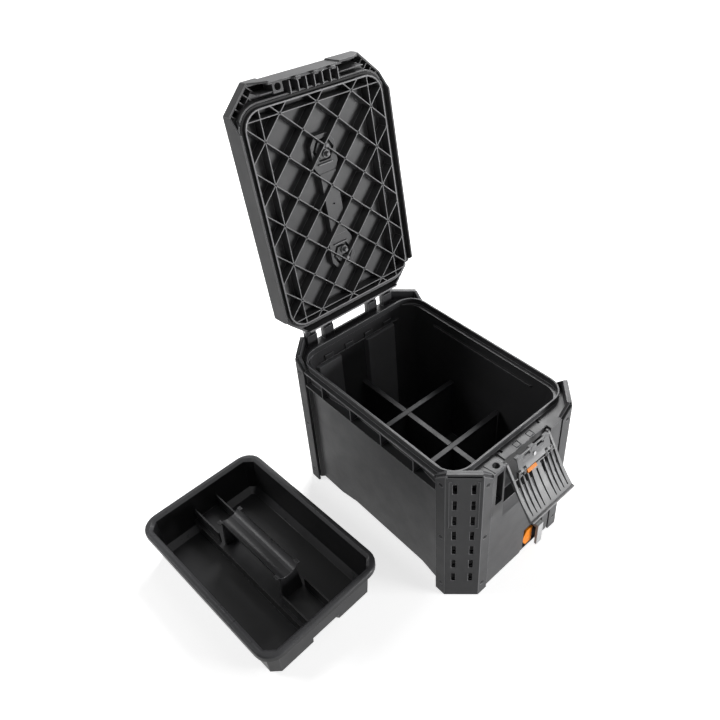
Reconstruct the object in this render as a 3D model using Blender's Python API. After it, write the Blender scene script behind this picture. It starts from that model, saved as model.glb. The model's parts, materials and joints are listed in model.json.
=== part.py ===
"""A moulded toolbox with slotted corner guards, hinged lid, front latch, loose dividers and lift-out tray.

Metres, +Z up. The origin is on the floor under the middle of the box. The hinge is at +Y, the latch at -Y.
The lid stands open, the latch hangs open and the tray stands on the floor beside the box.
Lid, latch and handle are built as they lie when closed, and their empties turn them to where they rest.
"""

import math

import bmesh
import bpy
from mathutils import Matrix, Vector

# Fits
FIT_GAP = 0.0003
RUNNING_GAP = 0.0005
OVERLAP = 0.0006
CUT_MARGIN = 0.002

# Box, over the corner guards
WIDTH = 0.280
DEPTH = 0.432
CORNER_LEG = 0.039
LEDGE_HEIGHT = 0.275
LEDGE_THICKNESS = 0.003
BASE_CLEARANCE = 0.008
FLOOR_THICKNESS = 0.004
SIDE_RECESS = 0.010
PANEL_RECESS = 0.0045
PANEL_REAR_INSET = 0.154
PANEL_FRONT_INSET = 0.106
PANEL_SLOPE = 0.036
FRONT_RECESS = 0.0015
REAR_RECESS = 0.029
POST_STEP = 0.004
POST_OVERHANG = 0.002

# Inside of the box
SIDE_WALL = 0.004
FRONT_WALL = 0.036
REAR_WALL = 0.006
CAVITY_RADIUS = 0.030
CAVITY_DRAFT = 0.004

# Lip that the lid seals on
LIP_SIDE_INSET = 0.0095
LIP_FRONT_INSET = 0.03165
LIP_REAR_INSET = 0.03465
LIP_RADIUS = 0.034
LIP_THICKNESS = 0.003
LIP_RISE = 0.011

# Corner horns above the ledge
HORN_RISE = 0.0205
HORN_END_RISE = 0.0005
HORN_THICKNESS = 0.0045
HORN_ROOT = 0.006

# Side bands
BAND_DROP = 0.0295
BAND_FLANGE = 0.002
BAND_RIB = 0.002
BAND_RIB_PITCH = 0.073
BAND_RIBS = 4

# Underside
RAIL_WIDTH = 0.016
RAIL_LENGTH = 0.300
RAIL_SPACING = 0.150
SKIRT_INSET = 0.0012
SKIRT_THICKNESS = 0.0030
SKIRT_CLEARANCE = 0.0010
HOLLOW_WALL = 0.0035
HOLLOW_RIB = 0.004
HOLLOW_CELLS = 2
POST_HOLLOW_DROP = 0.050
POST_HOLLOW_WIDTH = 0.0085

# Corner guards and their screws
GUARD_THICKNESS = 0.004
GUARD_FLANGE = 0.020
GUARD_TOP_DROP = 0.0045
GUARD_FLANGE_DROP = 0.003
SLOT_WIDTH = 0.0064
SLOT_HEIGHT = 0.020
SLOT_ROWS = 7
SLOT_TOP_MARGIN = 0.0315
SLOT_LOW = 0.0495
SLOT_COLUMN_OFFSET = 0.0136
SCREW_EDGE = 0.0085
SCREW_LOW = 0.0255
SCREW_TOP_DROP = 0.0085
SCREWS_PER_FLANGE = 3
SCREW_RADIUS = 0.0020
SCREW_HEAD_RADIUS = 0.0040
SCREW_HEAD_HEIGHT = 0.0018
SCREW_LENGTH = 0.0070
SCREW_SIDES = 6

# Lid
LID_OPEN_DEG = 98.4
LID_INSET = 0.0005
LID_CORNER_LEG = 0.0385
LID_SEAT_GAP = 0.0015
LID_SIDE_HEIGHT = 0.037
LID_BEVEL_HEIGHT = 0.0065
LID_BEVEL_INSET = 0.006
LID_WALL = 0.003
LID_PANEL_BELOW_TOP = 0.016
LID_PANEL_THICKNESS = 0.004
LID_RIM_WIDTH = 0.016
LID_HORN_GAP = 0.0015
LID_REAR_RAISE = 0.005
RIDGE_THICKNESS = 0.0025
INNER_RIDGE_OFFSET = 0.0039
OUTER_RIDGE_OFFSET = 0.0038
INNER_RIDGE_DEPTH = 0.005
OUTER_RIDGE_GAP = 0.001
RIB_STEP = 0.03325
RIB_THICKNESS = 0.0016
RIB_LINES = 4
SIDE_RIB_STEPS = 3
END_RIB_STEPS = 5
FRONT_RIBS = 7
FRONT_RIB_PITCH = 0.0146
FRONT_RIB_FIRST_X = -0.0420
FRONT_RIB_THICKNESS = 0.0018
FRONT_SETBACK = 0.0025
FRONT_SETBACK_LEFT = -0.076
FRONT_SETBACK_RIGHT = 0.050
CORNER_POCKETS = 4
CORNER_POCKET_WIDTH = 0.0095
CORNER_POCKET_PITCH = 0.0115
CORNER_POCKET_REACH = 0.010
SEAL_WIDTH = 0.0036
SEAL_HEIGHT = 0.0042

# Padlock eye, on box and lid
PADLOCK_OFFSET = 0.0115
PADLOCK_INSET = 0.0115
PADLOCK_RADIUS = 0.0056
PADLOCK_BOSS = 0.017
PADLOCK_SLOT_WIDTH = 0.015
PADLOCK_SLOT_HEIGHT = 0.067
PADLOCK_SLOT_DEPTH = 0.018
PADLOCK_BRIDGE = 0.008

# Hinge
HINGE_INSET = 0.009
HINGE_RISE = 0.031
HINGE_SETBACK = 0.009
HINGE_PIN_RADIUS = 0.0020
HINGE_EYE_RADIUS = 0.0046
HINGE_EAR_WIDTH = 0.0055
HINGE_LUG_WIDTH = 0.0085
HINGE_INNER_X = 0.050
HINGE_OUTER_X = 0.086
GUSSET_THICKNESS = 0.004
GUSSET_DROP = 0.040
GUSSET_REACH = 0.020

# Latch
LATCH_OPEN_DEG = 35.0
LATCH_RECESS_HALF = 0.052
LATCH_RECESS_DEPTH = 0.009
LATCH_RECESS_SLOPE = 0.012
LEVER_PIVOT_OUT = 0.005
LEVER_PIVOT_DROP = 0.007
LEVER_LENGTH = 0.0985
LEVER_SIDE_GAP = 0.0015
LEVER_THICKNESS = 0.0060
LEVER_TOP = 0.0265
LEVER_HOLLOW = 0.0024
LEVER_LIP_HEIGHT = 0.0042
LEVER_LIP_OUT = 0.0034
LEVER_ARM = 0.0045
LEVER_ARM_RADIUS = 0.0042
LEVER_ARM_ROOT = 0.004
LEVER_PIN_RADIUS = 0.0020
LEVER_PIN_EMBED = 0.003
LEVER_GROOVE = 0.0016
LEVER_GROOVE_DEPTH = 0.0016
LEVER_GROOVE_TOP = 0.0105
LEVER_GROOVE_END = 0.0085
LEVER_STRIP = 0.0125
LEVER_STRIP_NARROW = 0.0078
LEVER_NARROW_GROOVES = 3
HOOK_PIVOT_OUT = 0.0064
HOOK_PIVOT_DROP = 0.0190
HOOK_PIN_RADIUS = 0.0016
HOOK_EYE_RADIUS = 0.0034
HOOK_LUG_WIDTH = 0.0060
HOOK_LUG_X = 0.0310
LEVER_LUG_WIDTH = 0.0050
LEVER_LUG_ROOT = 0.008
PLATE_HALF_WIDTH = 0.0370
PLATE_LENGTH = 0.0255
PLATE_THICKNESS = 0.0024
PLATE_START = 0.0045
HOOK_REACH = 0.0042
HOOK_HEIGHT = 0.0034
HOOK_WIDTH = 0.0100
HOOK_BITE_GAP = 0.0004
HOOK_OPEN_GAP = 0.0018
WINDOW_WIDTH = 0.0170
WINDOW_HEIGHT = 0.0070
WINDOW_X = 0.0160
WINDOW_RISE = 0.0135
PLATE_SCREW_RISE = 0.0125
PLATE_SCREW_RADIUS = 0.0030
PLATE_SCREW_SHANK = 0.0016
PLATE_SCREW_HEAD = 0.0012
TAB_X = -0.0100
TAB_WIDTH = 0.0210
TAB_HEIGHT = 0.0064
TAB_RISE = 0.0034
TAB_THICKNESS = 0.0040
TAB_PROUD = 0.0032
STRIKE_THICKNESS = 0.0018
STRIKE_HEIGHT = 0.026
STRIKE_FOOT = 0.0020
STRIKE_FOOT_OUT = 0.0028
STRIKE_TONGUE = 0.0080
STRIKE_BAND_RISE = 0.0012
STRIKE_SCREW_CELLS = (1.5, 4.5)
STRIKE_SCREW_RISE = 0.020
STRIKE_SCREW_RADIUS = 0.0015
STRIKE_SCREW_HEAD_RADIUS = 0.0030
STRIKE_SCREW_HEAD = 0.0016
STRIKE_SCREW_BITE = 0.0020

# Stack lock, low on the front
LOCK_LEFT = 0.012
LOCK_RIGHT = 0.062
LOCK_LOW = 0.010
LOCK_HIGH = 0.060
LOCK_DEPTH = 0.017
LOCK_PIVOT_IN = 0.007
LOCK_PIVOT_DROP = 0.0085
LOCK_PIN_RADIUS = 0.0016
LOCK_PIN_EMBED = 0.003
LOCK_EYE_RADIUS = 0.0035
LOCK_TAB_WIDTH = 0.014
LOCK_TAB_X = 0.045
LOCK_TAB_OUT = 0.010
LOCK_TAB_THICKNESS = 0.005
LOCK_TAB_LOW = 0.0045
LOCK_TAB_HIGH = 0.0545
LOCK_CATCH_RIGHT = 0.0365
LOCK_CATCH_WIDTH = 0.016
LOCK_CATCH_LOW = 0.012
LOCK_CATCH_HEIGHT = 0.036
LOCK_CATCH_INSET = 0.0007
LOCK_CATCH_THICKNESS = 0.004
LOCK_CATCH_GAP = 0.0004

# Carry handle on the lid
HANDLE_MOUNT_Y = 0.092
HANDLE_MOUNT_LENGTH = 0.018
HANDLE_MOUNT_WIDTH = 0.026
HANDLE_MOUNT_TOP_WIDTH = 0.018
HANDLE_MOUNT_HEIGHT = 0.013
HANDLE_REACH = 0.056
HANDLE_ARM = 0.011
HANDLE_THICKNESS = 0.0096
HANDLE_EYE = 0.0048
HANDLE_CORNER = 0.010
HANDLE_PIN_RADIUS = 0.0022
HANDLE_PIN_BITE = 0.009
HANDLE_AXIS_RISE = 0.0072

# Dividers
DIVIDER_TOP = 0.153
DIVIDER_THICKNESS = 0.0024
DIVIDER_CAP_WIDTH = 0.0095
DIVIDER_CAP_HEIGHT = 0.003
DIVIDER_END_GAP = 0.0008
CROSS_REAR_Y = 0.058
CROSS_FRONT_Y = -0.056

# Tray
TRAY_SIDE_GAP = 0.072
TRAY_Y = 0.065
TRAY_YAW_DEG = 3.1
TRAY_HEIGHT = 0.080
TRAY_OPENING_WIDTH = 0.202
TRAY_OPENING_LENGTH = 0.325
TRAY_RIM_WIDTH = 0.012
TRAY_RIM_HEIGHT = 0.011
TRAY_RIM_RADIUS = 0.030
TRAY_CORNER = 0.015
TRAY_WALL = 0.0025
TRAY_DRAFT = 0.0045
TRAY_COVE = 0.0100
TUNNEL_HALF_WIDTH = 0.026
TUNNEL_HEIGHT = 0.021
FIN_X = 0.0215
FIN_THICKNESS = 0.0024
FIN_TOP = 0.048
FIN_LENGTH = 0.0740
GRIP_LENGTH = 0.1590
GRIP_CENTRE_Y = -0.0010
GRIP_HALF_WIDTH = 0.0180
GRIP_TOP = 0.0860
GRIP_DIP = 0.0100
GRIP_THICKNESS = 0.0030
GRIP_STEPS = 10
GRIP_FLATNESS = 3
GRIP_WALL = 0.0045
GRIP_WALL_HALF_WIDTH = 0.0200
GRIP_EAR = 0.0045
GRIP_EAR_LENGTH = 0.0090

# Roundness of turned and rounded shapes, and the bends that count as flat and as smooth
ROUND_SIDES = 12
ARC_STEPS = 6
FLAT_ANGLE = math.radians(0.1)
SMOOTH_ANGLE = math.radians(32)

# Box sizes that follow from those above
HALF_WIDTH = WIDTH / 2
HALF_DEPTH = DEPTH / 2
CHAMFER_SHRINK = 2 - math.sqrt(2)
GUARD_OFFSET = GUARD_THICKNESS + FIT_GAP
POST_X = HALF_WIDTH - GUARD_OFFSET
POST_Y = HALF_DEPTH - GUARD_OFFSET
POST_LEG = CORNER_LEG - CHAMFER_SHRINK * GUARD_OFFSET
FLANGE_END_X = HALF_WIDTH - CORNER_LEG - GUARD_FLANGE
FLANGE_END_Y = HALF_DEPTH - CORNER_LEG - GUARD_FLANGE
POST_END_X = FLANGE_END_X - POST_OVERHANG
POST_END_Y = FLANGE_END_Y - POST_OVERHANG
WALL_X = HALF_WIDTH - SIDE_RECESS
PANEL_X = WALL_X - PANEL_RECESS
PANEL_FRONT_END = PANEL_FRONT_INSET - HALF_DEPTH
PANEL_REAR_END = HALF_DEPTH - PANEL_REAR_INSET
FRONT_Y = FRONT_RECESS - HALF_DEPTH
REAR_WALL_Y = HALF_DEPTH - REAR_RECESS
CAVITY_HALF_WIDTH = PANEL_X - SIDE_WALL
CAVITY_FRONT = FRONT_WALL - HALF_DEPTH
CAVITY_REAR = REAR_WALL_Y - REAR_WALL
CAVITY_HALF_DEPTH = (CAVITY_REAR - CAVITY_FRONT) / 2
CAVITY_CENTRE_Y = (CAVITY_REAR + CAVITY_FRONT) / 2
CAVITY_FLOOR = BASE_CLEARANCE + FLOOR_THICKNESS
LIP_HALF_WIDTH = HALF_WIDTH - LIP_SIDE_INSET
LIP_HALF_DEPTH = HALF_DEPTH - (LIP_FRONT_INSET + LIP_REAR_INSET) / 2
LIP_CENTRE_Y = (LIP_FRONT_INSET - LIP_REAR_INSET) / 2
LIP_TOP = LEDGE_HEIGHT + LIP_RISE
HORN_TOP = LEDGE_HEIGHT + HORN_RISE
GUARD_TOP = HORN_TOP - GUARD_TOP_DROP
SLOT_PITCH = (HORN_TOP - SLOT_TOP_MARGIN - SLOT_LOW) / (SLOT_ROWS - 1)
SCREW_PITCH = (LEDGE_HEIGHT - SCREW_TOP_DROP - SCREW_LOW) / (SCREWS_PER_FLANGE - 1)
SCREW_SEAT = SCREW_HEAD_HEIGHT + 2 * FIT_GAP
SCREW_HOLE = SCREW_HEAD_HEIGHT + SCREW_LENGTH + 2 * FIT_GAP

# Lid sizes that follow
HINGE_Y = HALF_DEPTH - HINGE_INSET
HINGE_Z = LEDGE_HEIGHT + HINGE_RISE
LID_HALF_WIDTH = HALF_WIDTH - LID_INSET
LID_FRONT = LID_INSET - HALF_DEPTH
LID_REAR = HINGE_Y - HINGE_SETBACK
LID_HALF_DEPTH = (LID_REAR - LID_FRONT) / 2
LID_CENTRE_Y = (LID_REAR + LID_FRONT) / 2
LID_LOW = LEDGE_HEIGHT + LID_SEAT_GAP
LID_SHOULDER = LID_LOW + LID_SIDE_HEIGHT
LID_TOP = LID_SHOULDER + LID_BEVEL_HEIGHT
LID_PANEL_TOP = LID_TOP - LID_PANEL_BELOW_TOP
LID_CEILING = LID_PANEL_TOP - LID_PANEL_THICKNESS
RIDGE_LOW = LIP_TOP - INNER_RIDGE_DEPTH
SEAL_LOW = LIP_TOP + FIT_GAP
SEAL_SEAT = SEAL_LOW + SEAL_HEIGHT + FIT_GAP
PADLOCK_X = -LATCH_RECESS_HALF - PADLOCK_OFFSET
PADLOCK_Y = PADLOCK_INSET - HALF_DEPTH
HANDLE_AXIS_Z = LID_PANEL_TOP + HANDLE_AXIS_RISE
HANDLE_ARM_Y = HANDLE_MOUNT_Y - HANDLE_MOUNT_LENGTH / 2 - RUNNING_GAP

# Latch sizes that follow
RECESS_BACK_Y = FRONT_Y + LATCH_RECESS_DEPTH
LEVER_PIVOT_Y = RECESS_BACK_Y - LEVER_PIVOT_OUT
LEVER_PIVOT_Z = LEDGE_HEIGHT - LEVER_PIVOT_DROP
LEVER_HALF_WIDTH = LATCH_RECESS_HALF - LEVER_SIDE_GAP
LEVER_OPEN = math.radians(LATCH_OPEN_DEG)
RECESS_LOW = LEVER_PIVOT_Z - LEVER_LENGTH - LATCH_RECESS_SLOPE
FRONT_HOLLOW_TOP = RECESS_LOW - 2 * HOLLOW_WALL
HOOK_Y = LEVER_PIVOT_Y - HOOK_PIVOT_OUT
HOOK_Z = LEVER_PIVOT_Z - HOOK_PIVOT_DROP
HOOK_OPEN_Y = LEVER_PIVOT_Y - HOOK_PIVOT_OUT * math.cos(LEVER_OPEN) - HOOK_PIVOT_DROP * math.sin(LEVER_OPEN)
HOOK_TIP = PLATE_THICKNESS / 2 + HOOK_REACH
HOOK_RADIUS = math.hypot(HOOK_TIP, PLATE_LENGTH)
HOOK_LEAD = math.atan2(HOOK_TIP, PLATE_LENGTH)
LATCH_WALL_INSIDE = LID_FRONT + FRONT_SETBACK + LID_WALL
STRIKE_FACE_Y = LATCH_WALL_INSIDE + FIT_GAP
STRIKE_BACK_Y = STRIKE_FACE_Y + STRIKE_THICKNESS
STRIKE_SCREW_XS = [FRONT_RIB_FIRST_X + FRONT_RIB_PITCH * cell for cell in STRIKE_SCREW_CELLS]
STRIKE_FOOT_Y = STRIKE_FACE_Y - STRIKE_FOOT_OUT
HOOK_OUTER_X = PLATE_HALF_WIDTH - HOOK_WIDTH / 2
HOOK_XS = (-HOOK_OUTER_X, 0.0, HOOK_OUTER_X)
STRIKE_GAP_WIDTH = HOOK_OUTER_X - STRIKE_TONGUE
PLATE_CLOSED = math.asin((STRIKE_FACE_Y - RUNNING_GAP - HOOK_Y) / HOOK_RADIUS) - HOOK_LEAD
PLATE_OPEN = math.asin((STRIKE_FOOT_Y - HOOK_OPEN_GAP - HOOK_OPEN_Y) / HOOK_RADIUS) - HOOK_LEAD
TOOTH_RISE = (PLATE_LENGTH - HOOK_HEIGHT) * math.cos(PLATE_CLOSED) - HOOK_TIP * math.sin(PLATE_CLOSED)
STRIKE_FOOT_TOP = HOOK_Z + TOOTH_RISE - HOOK_BITE_GAP
STRIKE_LOW = STRIKE_FOOT_TOP - STRIKE_FOOT
LOCK_PIVOT_Y = FRONT_Y + LOCK_PIVOT_IN
LOCK_PIVOT_Z = LOCK_HIGH - LOCK_PIVOT_DROP

# Tray sizes that follow
TRAY_HALF_WIDTH = TRAY_OPENING_WIDTH / 2 + TRAY_WALL
TRAY_HALF_LENGTH = TRAY_OPENING_LENGTH / 2 + TRAY_WALL
TRAY_RIM_HALF_WIDTH = TRAY_OPENING_WIDTH / 2 + TRAY_RIM_WIDTH
TRAY_RIM_HALF_LENGTH = TRAY_OPENING_LENGTH / 2 + TRAY_RIM_WIDTH
TRAY_X = -(HALF_WIDTH + TRAY_SIDE_GAP + TRAY_RIM_HALF_WIDTH)
PLATFORM_TOP = TUNNEL_HEIGHT + TRAY_WALL

# Sides and quarters that mirrored features repeat over
SIDES = (-1, 1)
QUARTERS = {"front_left": (-1, -1), "front_right": (1, -1), "rear_left": (-1, 1), "rear_right": (1, 1)}


def clear_scene():
    for obj in list(bpy.data.objects):
        bpy.data.objects.remove(obj, do_unlink=True)


def principled(name, colour, roughness, metallic=0.0):
    made = bpy.data.materials.new(name)
    made.use_nodes = True
    shader = made.node_tree.nodes["Principled BSDF"]
    shader.inputs["Base Color"].default_value = (*colour, 1.0)
    shader.inputs["Roughness"].default_value = roughness
    shader.inputs["Metallic"].default_value = metallic
    return made


# Outlines, as lists of points


def both_sides(right):
    return right + [(-x, y) for x, y in reversed(right)]


def chamfered(half_x, half_y, leg, centre_y=0.0):
    right = [
        (half_x - leg, -half_y),
        (half_x, leg - half_y),
        (half_x, half_y - leg),
        (half_x - leg, half_y),
    ]
    return [(x, y + centre_y) for x, y in both_sides(right)]


def rounded(half_x, half_y, radius, centre_y=0.0):
    points = []
    for quadrant, (sx, sy) in enumerate(((1, 1), (-1, 1), (-1, -1), (1, -1))):
        for step in range(ARC_STEPS + 1):
            angle = math.pi / 2 * (quadrant + step / ARC_STEPS)
            x = sx * (half_x - radius) + radius * math.cos(angle)
            y = sy * (half_y - radius) + radius * math.sin(angle)
            points.append((x, y + centre_y))
    return points


def circle(radius, sides):
    turn = 2 * math.pi / sides
    return [(radius * math.cos(turn * i), radius * math.sin(turn * i)) for i in range(sides)]


def eye(centre, radius, root, half, upright=True):
    """A round eye whose straight root runs up or down to a height or, not upright, sideways to a place."""
    across, height = centre
    reach = root - (height if upright else across)
    side = -1 if reach > 0 else 1
    points = []
    for step in range(ROUND_SIDES // 2 + 1):
        angle = math.pi * step / (ROUND_SIDES // 2)
        points.append((radius * math.cos(angle), side * radius * math.sin(angle)))
    points += [(-half, reach), (half, reach)]
    if upright:
        return [(across + u, height + v) for u, v in points]
    return [(across + v, height + u) for u, v in points]


def lip_outline(offset):
    """The lip's middle line, or one beside it."""
    return rounded(LIP_HALF_WIDTH + offset, LIP_HALF_DEPTH + offset, LIP_RADIUS + offset, LIP_CENTRE_Y)


def lid_outline(inset):
    leg = LID_CORNER_LEG - CHAMFER_SHRINK * inset
    return chamfered(LID_HALF_WIDTH - inset, LID_HALF_DEPTH - inset, leg, LID_CENTRE_Y)


# Solids


def add_object(name, mesh):
    obj = bpy.data.objects.new(name, mesh)
    bpy.context.scene.collection.objects.link(obj)
    return obj


def from_bmesh(name, bm):
    bmesh.ops.recalc_face_normals(bm, faces=bm.faces)
    mesh = bpy.data.meshes.new(name)
    bm.to_mesh(mesh)
    bm.free()
    return add_object(name, mesh)


def stacked(name, rings):
    """A closed solid through rings of equally many points, with flat first and last faces."""
    bm = bmesh.new()
    loops = [[bm.verts.new(point) for point in ring] for ring in rings]
    for low, high in zip(loops, loops[1:]):
        count = len(low)
        for i in range(count):
            j = (i + 1) % count
            bm.faces.new((low[i], low[j], high[j], high[i]))
    bm.faces.new(list(reversed(loops[0])))
    bm.faces.new(loops[-1])
    bmesh.ops.connect_verts_nonplanar(bm, angle_limit=FLAT_ANGLE, faces=bm.faces)
    return from_bmesh(name, bm)


def placed(axis, at, distance, u, v):
    """The point at a distance along an axis from a start, and at (u, v) across it."""
    x, y, z = at
    if axis == "X":
        return (x + distance, y + u, z + v)
    if axis == "Y":
        return (x + u, y + distance, z + v)
    return (x + u, y + v, z + distance)


def prism(name, outline, low, high, axis="Z"):
    """An outline pulled along an axis. On X it is read as (y, z), on Y as (x, z) and on Z as (x, y)."""
    origin = (0.0, 0.0, 0.0)
    return stacked(name, [[placed(axis, origin, end, u, v) for u, v in outline] for end in (low, high)])


def block(name, xs, ys, zs):
    (x0, x1), (y0, y1) = sorted(xs), sorted(ys)
    return prism(name, [(x0, y0), (x1, y0), (x1, y1), (x0, y1)], *sorted(zs))


def tapered(name, levels):
    """A solid through (outline, height) levels."""
    return stacked(name, [[(x, y, z) for x, y in outline] for outline, z in levels])


def turned(name, axis, at, profile, sides=ROUND_SIDES):
    """A round solid along an axis, through (distance from its start, radius) steps."""
    rings = []
    for distance, radius in profile:
        rings.append([placed(axis, at, distance, u, v) for u, v in circle(radius, sides)])
    return stacked(name, rings)


def rod(name, axis, at, start, end, radius, sides=ROUND_SIDES):
    return turned(name, axis, at, [(start, radius), (end, radius)], sides)


def ring(name, outer, inner, low, high):
    made = prism(name, outer, low, high)
    return cut(made, prism("ring_inside", inner, low - CUT_MARGIN, high + CUT_MARGIN))


def joined(name, parts):
    """Several closed solids in one object, still separate bodies."""
    bm = bmesh.new()
    for part in parts:
        bm.from_mesh(part.data)
        drop(part)
    mesh = bpy.data.meshes.new(name)
    bm.to_mesh(mesh)
    bm.free()
    return add_object(name, mesh)


def drop(obj):
    mesh = obj.data
    bpy.data.objects.remove(obj, do_unlink=True)
    bpy.data.meshes.remove(mesh)


def mirrored(obj, sx, sy):
    mesh = obj.data.copy()
    mesh.transform(Matrix.Diagonal((sx, sy, 1, 1)))
    if sx * sy < 0:
        mesh.flip_normals()
    return add_object(obj.name, mesh)


def boolean(obj, tools, operation):
    """Cuts, joins or clips an object with the union of some tools, which are used up."""
    tool = joined(obj.name + "_tool", tools)
    modifier = obj.modifiers.new(operation, "BOOLEAN")
    modifier.operation = operation
    modifier.solver = "EXACT"
    modifier.use_self = len(tools) > 1
    modifier.object = tool
    graph = bpy.context.evaluated_depsgraph_get()
    mesh = bpy.data.meshes.new_from_object(obj.evaluated_get(graph))
    obj.modifiers.clear()
    old = obj.data
    obj.data = mesh
    bpy.data.meshes.remove(old)
    drop(tool)
    return obj


def cut(obj, *tools):
    return boolean(obj, list(tools), "DIFFERENCE")


def fuse(obj, *tools):
    return boolean(obj, list(tools), "UNION")


def clip(obj, tool):
    return boolean(obj, [tool], "INTERSECT")


def pivot(name, point, turn=(0.0, 0.0, 0.0), parent=None, built_at=None):
    """An empty on a joint's axis. Pieces are built around built_at, and the empty places and turns them."""
    empty = bpy.data.objects.new(name, None)
    bpy.context.scene.collection.objects.link(empty)
    empty.location = point
    if parent is not None:
        empty.parent = parent
        empty.location = Vector(point) - Vector(parent["built_at"])
    empty.rotation_euler = turn
    empty["built_at"] = point if built_at is None else built_at
    return empty


def finish(obj, name, material, parent=None):
    """Names a piece, tidies its faces, gives it its material and hangs it on its joint's empty."""
    obj.name = name
    obj.data.name = name
    clean = bmesh.new()
    clean.from_mesh(obj.data)
    bmesh.ops.dissolve_limit(clean, angle_limit=FLAT_ANGLE, verts=clean.verts, edges=clean.edges)
    bmesh.ops.triangulate(clean, faces=[face for face in clean.faces if len(face.verts) > 4])
    clean.to_mesh(obj.data)
    clean.free()
    obj.data.materials.clear()
    obj.data.materials.append(material)
    obj.data.shade_smooth()
    obj.data.set_sharp_from_angle(angle=SMOOTH_ANGLE)
    if parent is not None:
        obj.data.transform(Matrix.Translation(-Vector(parent["built_at"])))
        obj.parent = parent
    return obj


# Corners


def corner_points(inset, end_x, end_y):
    """Side end, two chamfer corners and rear end of the rear right corner, inset from the guards."""
    x = HALF_WIDTH - inset
    y = HALF_DEPTH - inset
    leg = CORNER_LEG - CHAMFER_SHRINK * inset
    return [(x, end_y), (x, y - leg), (x - leg, y), (end_x, y)]


def corner_strip(name, near, far, low, end_high, high, end_x, end_y, quarter=(1, 1)):
    """A wall round a corner, between two insets. Its top falls from the chamfer to its ends."""
    sx, sy = quarter
    rings = []
    outer_path = corner_points(near, end_x, end_y)
    inner_path = corner_points(far, end_x, end_y)
    for (ox, oy), (ix, iy), top in zip(outer_path, inner_path, (end_high, high, high, end_high)):
        outer = [(sx * ox, sy * oy, low), (sx * ox, sy * oy, top)]
        rings.append(outer + [(sx * ix, sy * iy, top), (sx * ix, sy * iy, low)])
    return stacked(name, rings)


def chamfer_block(name, centre_x, centre_y, along, depths, zs, quarter=(1, 1)):
    """A block square to a corner's chamfer. along and depths are its reach on the chamfer and inwards."""
    sx, sy = quarter
    tangent = Vector((-sx, sy)).normalized()
    inwards = Vector((-sx, -sy)).normalized()
    centre = Vector((sx * centre_x, sy * centre_y))
    corners = [(along[0], depths[0]), (along[1], depths[0]), (along[1], depths[1]), (along[0], depths[1])]
    return prism(name, [tuple(centre + tangent * a + inwards * d) for a, d in corners], *zs)


def screw_places(quarter):
    """Axis, direction out of the box and place on the guard's face, for each screw of a corner."""
    sx, sy = quarter
    y = sy * (HALF_DEPTH - CORNER_LEG - SCREW_EDGE)
    x = sx * (HALF_WIDTH - CORNER_LEG - SCREW_EDGE)
    places = []
    for step in range(SCREWS_PER_FLANGE):
        z = SCREW_LOW + SCREW_PITCH * step
        places.append(("X", sx, (sx * HALF_WIDTH, y, z)))
        places.append(("Y", sy, (x, sy * HALF_DEPTH, z)))
    return places


# Box


def box_outline():
    right = [
        (POST_END_X, FRONT_Y),
        (POST_END_X, -POST_Y),
        (POST_X - POST_LEG, -POST_Y),
        (POST_X, POST_LEG - POST_Y),
        (POST_X, -POST_END_Y),
        (WALL_X, POST_STEP - POST_END_Y),
        (WALL_X, PANEL_FRONT_END - PANEL_SLOPE),
        (PANEL_X, PANEL_FRONT_END),
        (PANEL_X, PANEL_REAR_END),
        (WALL_X, PANEL_REAR_END + PANEL_SLOPE),
        (WALL_X, POST_END_Y - POST_STEP),
        (POST_X, POST_END_Y),
        (POST_X, POST_Y - POST_LEG),
        (POST_X - POST_LEG, POST_Y),
        (POST_END_X, POST_Y),
        (POST_END_X, REAR_WALL_Y),
    ]
    return both_sides(right)


def ledge_outline():
    right = [
        (POST_END_X, FRONT_Y),
        (POST_END_X, -POST_Y),
        (POST_X - POST_LEG, -POST_Y),
        (POST_X, POST_LEG - POST_Y),
        (POST_X, -POST_END_Y),
        (HALF_WIDTH, -POST_END_Y),
        (HALF_WIDTH, POST_END_Y),
        (POST_X, POST_END_Y),
        (POST_X, POST_Y - POST_LEG),
        (POST_X - POST_LEG, POST_Y),
    ]
    return both_sides(right)


def cavity():
    low = rounded(
        CAVITY_HALF_WIDTH - CAVITY_DRAFT, CAVITY_HALF_DEPTH - CAVITY_DRAFT, CAVITY_RADIUS, CAVITY_CENTRE_Y
    )
    high = rounded(CAVITY_HALF_WIDTH, CAVITY_HALF_DEPTH, CAVITY_RADIUS, CAVITY_CENTRE_Y)
    return tapered("cavity", [(low, CAVITY_FLOOR), (high, LEDGE_HEIGHT + CUT_MARGIN)])


def lip():
    half = LIP_THICKNESS / 2
    return ring("lip", lip_outline(half), lip_outline(-half), LEDGE_HEIGHT - OVERLAP, LIP_TOP)


def horn(quarter):
    far = GUARD_OFFSET + HORN_THICKNESS
    low = LEDGE_HEIGHT - HORN_ROOT
    end_high = LEDGE_HEIGHT + HORN_END_RISE
    return corner_strip("horn", GUARD_OFFSET, far, low, end_high, HORN_TOP, POST_END_X, POST_END_Y, quarter)


def side_band(side):
    reach = (side * (PANEL_X - OVERLAP), side * HALF_WIDTH)
    top = LEDGE_HEIGHT - BAND_DROP
    parts = [block("band_flange", reach, (-POST_END_Y, POST_END_Y), (top - BAND_FLANGE, top))]
    rib_reach = (reach[0], side * (HALF_WIDTH - OVERLAP))
    for step in range(BAND_RIBS):
        y = BAND_RIB_PITCH * (step - (BAND_RIBS - 1) / 2)
        ys = (y - BAND_RIB / 2, y + BAND_RIB / 2)
        parts.append(block("band_rib", rib_reach, ys, (top - OVERLAP, LEDGE_HEIGHT - OVERLAP)))
    return parts


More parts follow.
